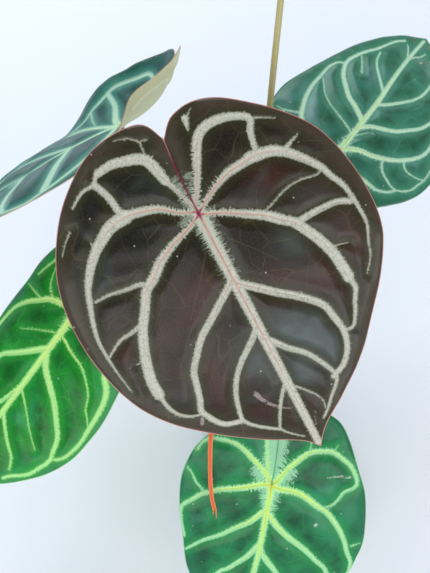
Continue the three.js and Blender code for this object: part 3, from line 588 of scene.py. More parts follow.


# Materials of the plant

# each look's blue-grey patch colour and its share are a painted reflection of the sky on the lamina
usualLook = dict(paintedReflectionShare=0.8, midrib=1.0, ribSoft=1.1, heart=0.06, mark="#e4efd9", fringe=1.5, soft=0.6,
                 rough=0.3, gloss=0.27, sheen=0.03, beside=0.5)
looks = dict(
    bronze=dict(deep="#120e0b", mid="#261b15", nearVein="#2e2e19", paintedReflection="#4a5553", paintedReflectionShare=0.35,
                margin="#483e32", fine="#565232", band="#c3c3b4", bandShade="#80846f", bandMint="#b3b9a6",
                halo="#8f9c89", rib="#c9a08f", ribFar="#d49a80", midrib=0.9, ribSoft=0.35, heart=0.026,
                joint="#96304e", slit="#7d2442", rim="#c4564b", rimPale="#e2b9a4", mark="#bba9a8", soft=0.45,
                rough=0.29, sheen=0.015, beside=0.8, under=("#7d5a4a", "#a98a6c", "#b9756a")),
    green=dict(deep="#05452a", mid="#197a46", nearVein="#249846", paintedReflection="#3a8f70", paintedReflectionShare=0.5,
               margin="#176a44", fine="#2f8f58", band="#a8e0a6", bandShade="#7cc48a", bandMint="#b2ea9a",
               halo="#a0dcae", rib="#cdea6c", ribFar="#b2e084", joint="#cfdc5c", slit="#58a070",
               rim="#8cc49a", rimPale="#b4dcb8", fringe=1.6, under=("#7fa574", "#b9d39b", "#a9c98c")),
    bright=dict(deep="#045016", mid="#0f8428", nearVein="#25a02c", paintedReflection="#2f9a70", paintedReflectionShare=0.7,
                margin="#2a7656", fine="#3fae40", band="#b2ea96", bandShade="#86d272", bandMint="#c4f28e",
                halo="#96e08c", rib="#d2f284", ribFar="#b9ea80", joint="#d8ee90", slit="#3f9a3c",
                rim="#8fc474", rimPale="#b8dca0", soft=0.7, rough=0.32, under=("#86ad70", "#c0da95",
                "#aed08a")),
    teal=dict(deep="#17503a", mid="#337a62", nearVein="#4c987a", paintedReflection="#6f9698", margin="#1f6646",
              fine="#5a967e", band="#bee0c6", bandShade="#95c6a8", bandMint="#caeec4", halo="#a6d6bc",
              rib="#cbeda4", ribFar="#bce6ac", joint="#d2eaa6", slit="#3a7a5c", rim="#3f7a58",
              rimPale="#86b496", mark="#e6e79a", rough=0.28, gloss=0.42, sheen=0.05,
              under=("#86a688", "#bdd3a9", "#accaa0")),
    dusk=dict(deep="#06302c", mid="#1d5c50", nearVein="#4a8c78", paintedReflection="#5f9c8c", margin="#1c5446",
              fine="#4c8a78", band="#b6d8be", bandShade="#8cbc9e", bandMint="#c0e4c4", halo="#9ccab2",
              rib="#c6e2aa", ribFar="#b8dab4", joint="#d2e6b4", slit="#356a58", rim="#d8ac92",
              rimPale="#cfd9b4", mark="#dfe9dc", fringe=1.3, soft=1.3, rough=0.34, gloss=0.2, sheen=0.02,
              beside=0.85, under=("#d2d8aa", "#ecf0cf", "#e2e8bf")),
)
looks = {kind: {**usualLook, **look} for kind, look in looks.items()}


# Living leaf: a waxy satin lamina over dark tissue, with dull frosty bands of air-filled cells beside the
# veins. The bands end in a fringe of cell rows that run out from the vein, about 1.5 mm apart.
def bladeTop(name, look):
    material, add, skin = newMaterial(name, Roughness=look["rough"], Specular_IOR_Level=look["gloss"],
                                      IOR=1.45, Sheen_Weight=look["sheen"], Sheen_Roughness=0.45,
                                      Sheen_Tint=linear("#cdd9e2"))
    place = add("UVMap", uv_map="leaf")  # 1 unit is 100 mm of leaf
    band, rib, along, rim, mark, thread, halo, outer, dark, ruddy, pale = (
        add("Attribute", attribute_name=title).outputs["Fac"]
        for title in ("bandEdge", "ribEdge", "veinAlong", "rimEdge", "markEdge", "threadEdge", "haloEdge",
                      "fringeShare", "darkTone", "ruddyTone", "paleTone"))
    fromJoint = add("VectorMath", {0: place}, operation="LENGTH")
    outward = add("Math", {0: band, 1: 0.2}, operation="MULTIPLY")
    hairs = add("TexNoise", {"Vector": add("CombineXYZ", {0: along, 1: outward}), "Scale": 0.75,
                             "Detail": 3.0, "Roughness": 0.65})
    grains = add("TexNoise", {"Vector": place, "Scale": 85.0, "Detail": 2.0, "Roughness": 0.6})
    clouds = add("TexNoise", {"Vector": place, "Scale": 5.0, "Detail": 3.0})
    patches = add("TexNoise", {"Vector": place, "Scale": 2.1, "Detail": 2.0, "Distortion": 0.6})
    grain = add("Math", {0: grains, 1: 0.5}, operation="SUBTRACT")
    # frost of the bands: its fringe is longest close to the joint
    nearJoint = add("MapRange", {0: fromJoint, 1: 0.7, 2: 0.05})
    longer = add("Math", {0: nearJoint, 1: 1.5, 2: outer}, operation="MULTIPLY_ADD")
    centred = add("Math", {0: hairs, 1: 0.5}, operation="SUBTRACT")
    spikes = add("Math", {0: centred, 1: look["fringe"] * 2.8}, operation="MULTIPLY")
    spikes = add("Math", {0: spikes, 1: longer}, operation="MULTIPLY")
    ragged = add("Math", {0: grain, 1: look["fringe"] * 2.2, 2: spikes}, operation="MULTIPLY_ADD")
    frostEdge = add("Math", {0: band, 1: ragged}, operation="ADD")
    frost = add("MapRange", {0: frostEdge, 1: look["soft"], 2: -look["soft"]}, **smooth)
    # lamina: deep and mid tones in clouds, a painted reflection of the blue-grey sky in wide patches, and a
    # greener edge beside each band
    tone = add("MapRange", {0: clouds, 1: 0.35, 2: 0.65})
    cloudy = add("MapRange", {0: clouds, 1: 0.25, 2: 0.65, 3: 0.35})
    # painted shade darkens the dark patches; the ruddy ones are the leaf's own maroon
    darkly, ruddily = (add("Math", {0: share, 1: cloudy}, operation="MULTIPLY", use_clamp=True)
                       for share in (dark, ruddy))
    # painted reflection: the sky's blue-grey reflection painted in wide noise patches, stronger in the pale
    # patches
    palely = add("Math", {0: pale, 1: cloudy}, operation="MULTIPLY")
    paintedReflection = add("MapRange", {0: patches, 1: 0.5, 2: 0.72, 4: look["paintedReflectionShare"]}, **smooth)
    paintedReflection = add("Math", {0: palely, 1: 0.75, 2: paintedReflection}, operation="MULTIPLY_ADD", use_clamp=True)
    outside = add("MapRange", {0: rim, 1: 14.0, 2: 5.0, 4: 0.75})
    beside = add("MapRange", {0: band, 1: 8.0, 2: 0.0, 4: look["beside"]}, **smooth)
    # finest veins: faint wandering threads and a net, with a hardly visible mottling of cells
    threadNoise = add("Math", {0: grain, 1: 1.2, 2: thread}, operation="MULTIPLY_ADD")
    threads = add("MapRange", {0: threadNoise, 1: 0.35, 2: -0.35, 4: 0.55}, **smooth)
    mottle = add("MapRange", {0: grains, 1: 0.45, 2: 0.8, 4: 0.3})
    bent = add("VectorMath", {0: patches.outputs["Color"], 1: (0.35, 0.35, 0.0)}, operation="MULTIPLY")
    bent = add("VectorMath", {0: bent, 1: place}, operation="ADD")
    cells = add("TexVoronoi", {"Vector": bent, "Scale": 4.6}, feature="DISTANCE_TO_EDGE")
    netNoise = add("Math", {0: grain, 1: 0.04, 2: cells}, operation="MULTIPLY_ADD")
    net = add("MapRange", {0: netNoise, 1: 0.022, 2: 0.002, 4: 0.4}, **smooth)
    net = add("Math", {0: net, 1: cloudy}, operation="MULTIPLY")
    for other in (mottle, net):
        threads = add("Math", {0: threads, 1: other}, operation="MAXIMUM")
    # halo: pale tissue with long spikes round the joint and along the slit
    haloNoise = add("Math", {0: ragged, 1: 2.2, 2: halo}, operation="MULTIPLY_ADD")
    haloShow = add("MapRange", {0: haloNoise, 1: 1.5, 2: -1.5, 4: 0.7}, **smooth)
    # band: grainy, a little mint close to the joint
    strokes = add("Math", {0: grains, 1: hairs}, operation="ADD")
    core = add("MapRange", {0: band, 1: 0.3, 2: -2.0, 3: -0.12, 4: 0.16})
    strokes = add("Math", {0: strokes, 1: core}, operation="ADD")
    grainy = add("MapRange", {0: strokes, 1: 0.75, 2: 1.2})
    frosty = add("Mix", {0: grainy, 6: linear(look["bandShade"]), 7: linear(look["band"])}, **rgba)
    close = add("MapRange", {0: fromJoint, 1: 0.45, 2: 0.1, 4: 0.7})
    frosty = add("Mix", {0: close, 6: frosty, 7: linear(look["bandMint"])}, **rgba)
    # rib: the vein itself, strong near the joint, and on the midrib all the way
    far = add("MapRange", {0: fromJoint, 1: 0.25, 2: 1.2})
    ribTone = add("Mix", {0: far, 6: linear(look["rib"]), 7: linear(look["ribFar"])}, **rgba)
    ribShow = add("MapRange", {0: rib, 1: look["ribSoft"], 2: -0.6, 4: 0.9}, **smooth)
    faded = add("MapRange", {0: fromJoint, 1: 0.35, 2: 0.95, 3: 1.0, 4: 0.15})
    across = add("Math", {0: add("SeparateXYZ", {0: place})}, operation="ABSOLUTE")
    middle = add("MapRange", {0: across, 1: 0.045, 2: 0.025, 4: look["midrib"]})
    faded = add("Math", {0: faded, 1: middle}, operation="MAXIMUM")
    ribShow = add("Math", {0: ribShow, 1: faded}, operation="MULTIPLY")
    # the joint's colour runs a little way out along each rib
    alongRib = add("MapRange", {0: rib, 1: 0.6, 2: -0.8, 4: 0.038})
    reach = add("Math", {0: fromJoint, 1: alongRib}, operation="SUBTRACT")
    heart = add("MapRange", {0: reach, 1: look["heart"], 2: -0.02}, **smooth)
    scarNoise = add("Math", {0: grain, 1: 2.5, 2: mark}, operation="MULTIPLY_ADD")
    scar = add("MapRange", {0: scarNoise, 1: 0.5, 2: -0.5, 4: 0.5}, **smooth)
    # dust and mineral specks about 1 mm wide
    dots = add("TexVoronoi", {"Vector": place, "Scale": 3.4}, voronoi_dimensions="2D")
    some = add("MapRange", {0: dots.outputs["Color"], 1: 0.5, 2: 0.6, 4: 0.5})
    speck = add("Math", {0: add("MapRange", {0: dots, 1: 0.024, 2: 0.012}), 1: some}, operation="MULTIPLY")
    # thin coloured margin, deep red and wider along the slit by the joint on the young leaf
    atJoint = add("MapRange", {0: fromJoint, 1: 0.6, 2: 0.35})
    rimTone = add("Mix", {0: patches, 6: linear(look["rim"]), 7: linear(look["rimPale"])}, **rgba)
    rimTone = add("Mix", {0: atJoint, 6: rimTone, 7: linear(look["slit"])}, **rgba)
    rimWide = add("Math", {0: atJoint, 1: -0.45, 2: rim}, operation="MULTIPLY_ADD")
    rimShow = add("MapRange", {0: rimWide, 1: 0.75, 2: 0.25, 4: 0.9}, **smooth)
    setInputs(skin, {"Roughness": add("MapRange", {0: frost, 3: look["rough"], 4: 0.65})})
    # fine relief: pimpled skin at about 1 mm, and the threads slightly sunk
    height = add("Math", {0: threads, 1: -0.8, 2: grains}, operation="MULTIPLY_ADD")
    # in these layers #0f1413 is the painted shade of the dark patches, and the look's blue-grey patch colour
    # is a painted reflection
    layers = [(darkly, "#0f1413"), (ruddily, "#3d2019"), (paintedReflection, look["paintedReflection"]), (outside, look["margin"]),
              (beside, look["nearVein"]), (threads, look["fine"]), (haloShow, look["halo"]), (frost, frosty),
              (ribShow, ribTone), (heart, look["joint"]), (scar, look["mark"]), (speck, "#d8d6c6"),
              (rimShow, rimTone)]
    paintSkin(add, skin, tone, (look["deep"], look["mid"]), layers, height, 0.35, 0.0003)
    return material


# Underside: matt and pale, with the veins standing out
def bladeUnder(name, tissue, vein, tissuePale):
    material, add, skin = newMaterial(name, Roughness=0.55, Specular_IOR_Level=0.35)
    clouds = add("TexNoise", {"Vector": add("UVMap", uv_map="leaf"), "Scale": 14.0, "Detail": 4.0})
    band = add("Attribute", attribute_name="bandEdge").outputs["Fac"]
    raised = add("MapRange", {0: band, 1: 0.5, 2: -0.9}, **smooth)
    paintSkin(add, skin, clouds, (tissue, tissuePale), [(raised, vein)], raised, 0.6, 0.0006)
    return material


# Cut edge of the blade: the margin's colour, satin, darker in clouds
def bladeRim(name, text):
    material, add, skin = newMaterial(name, Roughness=0.45)
    clouds = add("TexNoise", {"Vector": add("UVMap", uv_map="leaf"), "Scale": 20.0, "Detail": 2.0})
    shade = [part * 0.75 for part in linear(text)[:3]] + [1.0]
    setInputs(skin, {"Base Color": add("Mix", {0: clouds, 6: shade, 7: linear(text)}, **rgba)})
    return material


def addObject(name, mesh, materials, slot, *nodes):
    for material in materials:
        mesh.materials.append(material)
    piece = bpy.data.objects.new(name, mesh)
    scene.collection.objects.link(piece)
    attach(piece, "root")
    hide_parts(*nodes)
    return piece


bladeThickness = 0.6  # mm
slots = dict(bronze="blade_bronze", green="blade_green", bright="blade_green", teal="blade_teal",
             dusk="blade_teal")
for name, leaf in leaves.items():
    kind = leaf["slot"]
    mesh = makeBladeMesh(name + "Blade", leaf)
    look = looks[kind]
    finishes = [bladeTop(kind + "LeafTop", look), bladeUnder(kind + "LeafUnder", *look["under"]),
                bladeRim(kind + "LeafEdge", look["rim"])]
    blade = addObject(name + "Blade", mesh, finishes, slots[kind], "blade_" + name)
    shell = blade.modifiers.new("thickness", "SOLIDIFY")
    shell.thickness, shell.offset = bladeThickness * mm, 0
    shell.material_offset, shell.material_offset_rim = 1, 2
    print(name, "blade", len(mesh.polygons), "triangles a side")


# Stalks, crown and pot

def polar(radius, turn, *height):
    return radius * math.cos(turn), radius * math.sin(turn), *height


# Each edge once, in the same order on each run
def edgesOf(verts):
    return list(dict.fromkeys(edge for vert in verts if vert.is_valid for edge in vert.link_edges))


# A grid rolled round a path in mm, with its ends closed. section(angle, t) gives the place across and
# through at that turn.
def sweepTube(bm, path, section, sides):
    path = np.array(path, float)
    steps = len(path) - 1
    ahead = np.gradient(path, axis=0)
    ahead /= np.linalg.norm(ahead, axis=1)[:, None]
    across = np.cross(ahead[0], (0.31, 0.87, 0.12) if abs(ahead[0][2]) > 0.5 else (0, 0, 1))
    frames = []
    for t in ahead:
        across = across - t * across.dot(t)
        across /= np.linalg.norm(across)
        frames.append((Vector(across), Vector(np.cross(t, across))))
    made = bmesh.ops.create_grid(bm, x_segments=sides, y_segments=steps, size=0.5, calc_uvs=True)["verts"]
    ends = []
    for vert in made:
        row = round((vert.co.y + 0.5) * steps)
        x, y = section((vert.co.x + 0.5) * math.tau, row / steps)
        if row in (0, steps):
            ends.append(vert)
        vert.co = Vector(path[row]) + frames[row][0] * x + frames[row][1] * y
    bmesh.ops.remove_doubles(bm, verts=made, dist=1e-5)
    bmesh.ops.holes_fill(bm, edges=[edge for edge in edgesOf(ends) if edge.is_boundary], sides=0)


def finishPiece(name, bm, materials, slot, node, faceted=False):
    if not faceted:
        bmesh.ops.recalc_face_normals(bm, faces=bm.faces[:])
    bmesh.ops.transform(bm, matrix=Matrix.Scale(mm, 4), verts=bm.verts[:])
    mesh = bpy.data.meshes.new(name)
    bm.to_mesh(mesh)
    bm.free()
    if not faceted:
        mesh.shade_smooth()
    addObject(name, mesh, materials, slot, node)


def newBmesh():
    bm = bmesh.new()
    bm.loops.layers.uv.new("path")
    return bm


def setMaterial(bm, firstFace, index):
    bm.faces.ensure_lookup_table()
    for face in bm.faces[firstFace:]:
        face.material_index = index


# Green stalk skin: satin, finely streaked along its length, a little red or tan towards one end
def stalkSkin(name, foot, top, fleck, rough=0.42, change=(0.2, 0.9)):
    material, add, skin = newMaterial(name, Roughness=rough, Specular_IOR_Level=0.4)
    uv = add("UVMap", uv_map="path")
    run = add("SeparateXYZ", {0: uv}).outputs[1]
    streaks = add("TexNoise", {"Vector": add("Mapping", {0: uv, "Scale": (5.0, 2.5, 1.0)}), "Scale": 6.0,
                               "Detail": 3.0})
    dots = add("TexNoise", {"Vector": add("TexCoord").outputs["Object"], "Scale": 900.0, "Detail": 1.0})
    layers = [(add("MapRange", {0: streaks, 1: 0.42, 2: 0.7, 4: 0.6}), fleck),
              (add("MapRange", {0: dots, 1: 0.62, 2: 0.72, 4: 0.5}), fleck)]
    share = add("MapRange", {0: run, 1: change[0], 2: change[1]})
    paintSkin(add, skin, share, (foot, top), layers, streaks, 0.3, 0.0003)
    return material


crown = dict(radius=16.5, top=110, foot=66, socket=11, roots=(20, 95, 165, 238, 305), rootRadius=2.4)
greenStalk = stalkSkin("freshGreenStalk", "#76854a", "#7f9a4e", "#4f6a34")
redStalk = stalkSkin("youngReddishStalk", "#7d7a48", "#8f5c44", "#6a3b33")
seatGap = 0.9  # mm from the blade's middle surface to the petiole's end


def bezier(p0, p1, p2, p3, count=40):
    t = np.linspace(0, 1, count)[:, None]
    return p0 * (1 - t) ** 3 + 3 * p1 * t * (1 - t) ** 2 + 3 * p2 * t * t * (1 - t) + p3 * t ** 3


for name, leaf in leaves.items():
    joint, _, _, normal = (np.array(part) for part in leafFrame(leaf))
    foot = np.array((*leaf["socket"], crown["top"] - crown["socket"]), float)
    seat = joint - normal * seatGap
    path = bezier(foot, foot + np.array(leaf["rise"]), seat - normal * leaf["bend"], seat)
    thick = leaf["petiole"]

    def petioleSection(angle, t, thick=thick):
        radius = np.interp(t, (0, 0.5, 1), thick)
        # sheathing foot, a swollen joint below the blade with a shallow neck, and a faint channel above
        radius *= 1 + 0.22 * (1 - smoothStep(t / 0.16)) + 0.24 * smoothStep((t - 0.85) / 0.05) \
            - 0.26 * smoothStep((t - 0.945) / 0.03) + 0.14 * smoothStep((t - 0.975) / 0.025)
        radius *= 1 - 0.07 * max(0, math.cos(angle)) ** 8
        return polar(radius, angle)

    bm = newBmesh()
    sweepTube(bm, path, petioleSection, 20)
    tint, stalk = ("bronze", redStalk) if name == "main" else ("green", greenStalk)
    finishPiece(name + "Petiole", bm, [stalk], "petiole_" + tint, "petiole_" + name)

# Drying flower stalk: olive at its foot, tan and lightly wrinkled above, cut across at its top
flowerStalk = dict(path=[(-1.5, 5, 99), (1, 45, 227), (7, 91, 350), (12.5, 123, 440.6)],
                   radii=(2.9, 2.5, 2.35))


def stalkSection(angle, t):
    radius = np.interp(t, (0, 0.5, 1), flowerStalk["radii"]) * (1 + 0.05 * math.cos(5 * angle + 2 * t))
    radius *= 1 - 0.12 * smoothStep((t - 0.993) / 0.007)
    return polar(radius, angle)


bm = newBmesh()
sweepTube(bm, smoothLine(flowerStalk["path"], 6), stalkSection, 20)
dryStalk = stalkSkin("dryingFlowerStalk", "#93964c", "#bdb280", "#9b9558", 0.5, (0.35, 0.95))
finishPiece("flowerStalk", bm, [dryStalk], "flower_stalk", "flower_stalk")

# Dry sheath: a thin strap with two raised ribs and a tip split in two prongs of (path, half width)
sheath = dict(path=[(-7.2, -10.2, 98), (-12, -27, 146), (-24, -64, 192), (-36, -107, 212), (-38, -129, 195),
                    (-37, -146, 175), (-34.6, -154.6, 165.6)], halfWidth=(2.2, 1.95, 1.6), thickness=0.5,
              prongs=[([(-35.4, -153.6, 166.6), (-35.5, -156, 164), (-35.7, -157.6, 162.4)], 0.7),
                      ([(-33.9, -153.6, 166.6), (-33.4, -157, 162.8), (-33.2, -159.8, 160)], 0.95)])


def sheathSection(angle, t):
    half = np.interp(t, (0, 0.5, 1), sheath["halfWidth"])
    across = math.cos(angle)
    ribs = 0.55 * math.exp(-((abs(across) - 0.72) / 0.2) ** 2)
    through = sheath["thickness"] * math.copysign(abs(math.sin(angle)) ** 0.6, math.sin(angle)) * (0.7 + ribs)
    return half * across, through + 0.35 * across * across


# Papery dry tissue: orange-red, with a painted highlight along its two ribs where they catch the light, and
# fibres along it
def sheathPaper():
    material, add, skin = newMaterial("dryOrangeSheath", Roughness=0.55, Specular_IOR_Level=0.35)
    uv = add("UVMap", uv_map="path")
    fibres = add("TexNoise", {"Vector": add("Mapping", {0: uv, "Scale": (5.0, 1.2, 1.0)}), "Scale": 8.0,
                              "Detail": 3.0})
    turn = add("Math", {0: add("SeparateXYZ", {0: uv}), 1: math.tau}, operation="MULTIPLY")
    side = add("Math", {0: add("Math", {0: turn}, operation="COSINE")}, operation="ABSOLUTE")
    # painted highlight: the paler colour on the two raised ribs stands in for the light they catch
    rib = add("MapRange", {0: side, 1: 0.5, 2: 0.8, 4: 0.55})
    paintSkin(add, skin, fibres, ("#c8481a", "#e8743c"), [(rib, "#f6ab72")], fibres, 0.4, 0.0004)
    return material


bm = newBmesh()
sweepTube(bm, smoothLine(sheath["path"], 4), sheathSection, 20)
for tip, wide in sheath["prongs"]:
    sweepTube(bm, smoothLine(tip, 1),
              lambda a, t: (wide * (1.1 - t) * math.cos(a), 0.4 * (1.1 - t) * math.sin(a)), 10)
finishPiece("drySheath", bm, [sheathPaper()], "dry_sheath", "cataphyll")
print("stalks and sheath ready")


# Crown: short stout stem with ring scars, thick roots, and papery brown remains of old sheaths
def woodyGreen():
    material, add, skin = newMaterial("scarredGreenStem", Roughness=0.6, Specular_IOR_Level=0.3)
    at = add("TexCoord").outputs["Object"]
    blotch = add("TexNoise", {"Vector": at, "Scale": 160.0, "Detail": 4.0})
    rings = add("TexWave", {"Vector": at, "Scale": 60.0, "Distortion": 3.0, "Detail": 2.0},
                bands_direction="Z")
    scar = add("MapRange", {0: rings.outputs["Fac"], 1: 0.75, 2: 1.0, 4: 0.7})
    paintSkin(add, skin, blotch, ("#4e4a2a", "#86824e"), [(scar, "#6b4b2f")], blotch, 0.6, 0.0008)
    return material


def dryPaper():
    material, add, skin = newMaterial("paperyBrownSheath", Roughness=0.7, Specular_IOR_Level=0.2)
    along = add("Mapping", {0: add("UVMap", uv_map="path"), "Scale": (6.0, 1.0, 1.0)})
    fibres = add("TexNoise", {"Vector": along, "Scale": 7.0, "Detail": 4.0})
    paintSkin(add, skin, fibres, ("#5d3f26", "#a98457"), [], fibres, 0.6, 0.0005)
    return material


def crownSection(angle, t):
    radius = crown["radius"] * (0.72 + 0.28 * smoothStep(t * 1.6))
    radius += 0.5 * math.sin(38 * t + 0.6 * math.sin(2 * angle)) + 0.5 * math.sin(3 * angle + 9 * t)
    radius *= math.sqrt(max(0.02, 1 - smoothStep((t - 0.86) / 0.14) ** 2))
    return polar(radius, angle)


bm = newBmesh()
sweepTube(bm, [(0, 0, z) for z in np.linspace(crown["foot"], crown["top"], 34)], crownSection, 40)
for number, degrees in enumerate(crown["roots"]):
    turn = math.radians(degrees)
    far = crown["radius"] + 10 + 3 * (number % 2)
    route = [polar(r, turn, z) for r, z in
             ((9, 98 - number % 3), (crown["radius"] + 3, 97.5), (far, 88), (far + 3, 74))]
    sweepTube(bm, smoothLine(route, 2), lambda a, t: polar(crown["rootRadius"] * (1 - 0.2 * t), a), 12)
for number in range(13):  # old sheath ends, curled and split
    turn = number * 2.4 + 0.3
    lean, tall = dice.uniform(1.0, 3.5), dice.uniform(9, 17)
    radius = crown["radius"] - 0.6
    outward = Vector(polar(1, turn, 0))
    low = dice.uniform(96, 101)
    route = [outward * (radius + lean * out) + Vector((0, 0, low + tall * up))
             for out, up in ((0, 0), (0.5, 0.5), (0.2, 1))]
    before = len(bm.faces)
    wide = dice.uniform(1.6, 3.2)
    sweepTube(bm, smoothLine(route, 2),
              lambda a, t: (wide * (1.04 - t) ** 0.6 * math.cos(a), 0.3 * math.sin(a)), 10)
    setMaterial(bm, before, 1)
finishPiece("crown", bm, [woodyGreen(), dryPaper()], "crown_stem", "crown")


# Pot: injection-moulded black-grey polypropylene, fine matt grain, rounded edges. Sizes in mm.
pot = dict(height=107, rim=60, base=44, wall=1.8, rimDepth=13, rimStep=2.2, floor=2.4, holes=6,
           holeRadius=3.2, holeCircle=31)


def potPlastic():
    material, add, skin = newMaterial("mattMouldedPolypropylene", Roughness=0.52, Specular_IOR_Level=0.4)
    at = add("TexCoord").outputs["Object"]
    grain = add("TexNoise", {"Vector": at, "Scale": 1400.0, "Detail": 2.0})
    dust = add("TexNoise", {"Vector": at, "Scale": 35.0, "Detail": 5.0})
    low = add("MapRange", {0: add("SeparateXYZ", {0: at}).outputs[2], 1: 0.03, 2: 0.0, 4: 0.35})
    lime = add("Math", {0: low, 1: dust}, operation="MULTIPLY")
    setInputs(skin, {"Roughness": add("MapRange", {0: dust, 3: 0.45, 4: 0.6})})
    paintSkin(add, skin, dust, ("#202225", "#303235"), [(lime, "#8a857a")], grain, 0.25, 0.0002)
    return material


def potSlope(height):
    return pot["base"] + (pot["rim"] - pot["rimStep"] - pot["base"]) * height / pot["height"]


def makePot():
    bm = bmesh.new()
    rimFoot, wall, step = pot["height"] - pot["rimDepth"], pot["wall"], pot["rimStep"]
    lipFoot, top, rim, base = potSlope(rimFoot), pot["height"], pot["rim"], pot["base"]
    profile = [(base - 1.6, 0), (base - 0.4, 0.4), (base, 1.6), (potSlope(40), 40),
               (lipFoot - 0.1, rimFoot - 0.4), (lipFoot + 0.3, rimFoot),
               (lipFoot + step - 0.4, rimFoot + 0.3), (lipFoot + step, rimFoot + 1.0),
               (rim - 0.2, top - 1.2), (rim - 0.7, top - 0.3), (rim - 1.2, top), (rim - wall, top - 0.2),
               (rim - wall - 0.4, top - 1.0), (lipFoot + step - wall, rimFoot + 2.2),
               (lipFoot - wall, rimFoot - 0.6), (base - wall + 0.6, pot["floor"] + 1),
               (base - wall - 1, pot["floor"])]
    verts = [bm.verts.new((r, 0, z)) for r, z in profile]
    edges = [bm.edges.new(pair) for pair in zip(verts, verts[1:])]
    bmesh.ops.spin(bm, geom=verts + edges, cent=(0, 0, 0), axis=(0, 0, 1), angle=math.tau, steps=96,
                   use_merge=True)
    holeTurns = [math.tau * hole / pot["holes"] for hole in range(pot["holes"])]
    for level in (0, pot["floor"]):  # floor plates with drain holes
        loops = [edge for edge in bm.edges if edge.is_boundary
                 and all(abs(vert.co.z - level) < 0.01 for vert in edge.verts)]
        for turn in holeTurns:
            spot = Matrix.Translation(polar(pot["holeCircle"], turn, level))
            ring = bmesh.ops.create_circle(bm, segments=24, radius=pot["holeRadius"], matrix=spot)["verts"]
            loops += edgesOf(ring)
        bmesh.ops.triangle_fill(bm, edges=loops, use_beauty=True)
    # triangle_fill covers the holes too, so their faces come out before the bores are bridged
    for turn in holeTurns:
        spot = Vector(polar(pot["holeCircle"], turn))
        inside = [face for face in bm.faces
                  if (face.calc_center_median().xy - spot).length < pot["holeRadius"] * 0.98
                  and all((vert.co.xy - spot).length < pot["holeRadius"] + 0.01 for vert in face.verts)]
        bmesh.ops.delete(bm, geom=inside, context="FACES_ONLY")
        rims = [edge for edge in bm.edges
                if all(abs((vert.co.xy - spot).length - pot["holeRadius"]) < 0.01 for vert in edge.verts)]
        bmesh.ops.bridge_loops(bm, edges=rims)
    finishPiece("pot", bm, [potPlastic()], "nursery_pot", "pot")


makePot()


# Potting mix: coarse bark chips and white perlite over dark fines
def darkFines():
    material, add, skin = newMaterial("dampBarkFines", Roughness=0.95, Specular_IOR_Level=0.15)
    crumbs = add("TexNoise", {"Vector": add("TexCoord").outputs["Object"], "Scale": 420.0, "Detail": 4.0})
    paintSkin(add, skin, crumbs, ("#1d140e", "#4a3626"), [], crumbs, 0.8, 0.001)
    return material


def barkWood():
    material, add, skin = newMaterial("coarsePineBark", Roughness=0.85, Specular_IOR_Level=0.25)
    at = add("TexCoord").outputs["Object"]
    layers = add("TexNoise", {"Vector": add("Mapping", {0: at, "Scale": (1.0, 0.35, 2.2)}), "Scale": 150.0,
                              "Detail": 5.0})
    piece = add("TexVoronoi", {"Vector": at, "Scale": 110.0}).outputs["Color"]
    own = add("MapRange", {0: piece, 4: 0.5})
    paintSkin(add, skin, layers, ("#3a2416", "#8a5f3d"), [(own, "#55392a")], layers, 0.8, 0.0008)
    return material


def perliteGrain():
    material, add, skin = newMaterial("whitePerlite", Roughness=0.8, Specular_IOR_Level=0.3)
    pores = add("TexVoronoi", {"Vector": add("TexCoord").outputs["Object"], "Scale": 1500.0})
    paintSkin(add, skin, pores, ("#f3f1ea", "#c9c5ba"), [], pores, 0.6, 0.0004)
    return material


def jolt():
    return Vector([dice.uniform(-1, 1) for _ in range(3)])


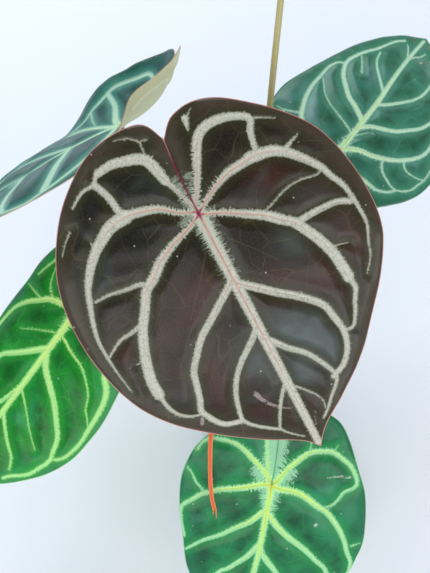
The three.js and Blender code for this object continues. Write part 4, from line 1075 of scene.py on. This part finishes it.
mix = dict(top=93.4, chips=210, grains=150, goldenTurn=2.39996, clearOfCrown=15)
bm = bmesh.new()
inner = potSlope(mix["top"]) - pot["wall"] - 0.3
bmesh.ops.create_circle(bm, cap_ends=True, segments=64, radius=potSlope(4) - pot["wall"] - 0.5,
                        matrix=Matrix.Translation((0, 0, pot["floor"] + 0.3)))
bmesh.ops.reverse_faces(bm, faces=bm.faces[:])
for radius, height in ((inner, mix["top"] - 2.5), (inner - 1.5, mix["top"]), (inner * 0.7, mix["top"] + 0.4),
                       (inner * 0.42, mix["top"] + 0.8), (8, mix["top"])):
    lip = [edge for edge in bm.edges if edge.is_boundary] or bm.edges[:]
    grown = bmesh.ops.extrude_edge_only(bm, edges=lip)["geom"]
    for vert in (item for item in grown if isinstance(item, bmesh.types.BMVert)):
        flat = Vector((vert.co.x, vert.co.y, 0)).normalized() * radius
        vert.co = (flat.x, flat.y, height)
spread = inner - 3.5
for number in range(mix["chips"]):
    turn = number * mix["goldenTurn"]
    reach = mix["clearOfCrown"] + (spread - mix["clearOfCrown"]) * math.sqrt((number + 0.5) / mix["chips"])
    size = dice.uniform(3, 8)
    shape = Matrix.Diagonal((size, size * dice.uniform(0.45, 0.8), size * dice.uniform(0.28, 0.45), 1))
    tilt = Euler((dice.uniform(-0.5, 0.5), dice.uniform(-0.5, 0.5), dice.uniform(0, 6.28)))
    tilt = tilt.to_matrix().to_4x4()
    spot = Matrix.Translation(polar(reach, turn, mix["top"] + dice.uniform(0.3, 2.2)))
    before = len(bm.faces)
    corners = bmesh.ops.create_cube(bm, size=1, matrix=spot @ tilt @ shape)["verts"]
    for vert in corners:
        vert.co += jolt() * size * 0.09
    bmesh.ops.bevel(bm, geom=edgesOf(corners), offset=0.45, offset_type="OFFSET", segments=1, affect="EDGES",
                    profile=0.5, material=-1)
    setMaterial(bm, before, 1)
for number in range(mix["grains"]):
    turn, reach = dice.uniform(0, 6.28), math.sqrt(dice.uniform(0.1, 1)) * spread
    spot = Matrix.Translation(polar(reach, turn, mix["top"] + dice.uniform(0.8, 3.4)))
    before = len(bm.faces)
    radius = dice.uniform(0.8, 1.7)
    dots = bmesh.ops.create_icosphere(bm, subdivisions=1, radius=radius, matrix=spot)["verts"]
    for vert in dots:
        vert.co += jolt() * 0.25
    setMaterial(bm, before, 2)
finishPiece("pottingMix", bm, [darkFines(), barkWood(), perliteGrain()], "bark_mix", "potting_mix",
            faceted=True)
print("pot, mix and crown ready")

cadBox = [list(corner) for corner in cadBox]
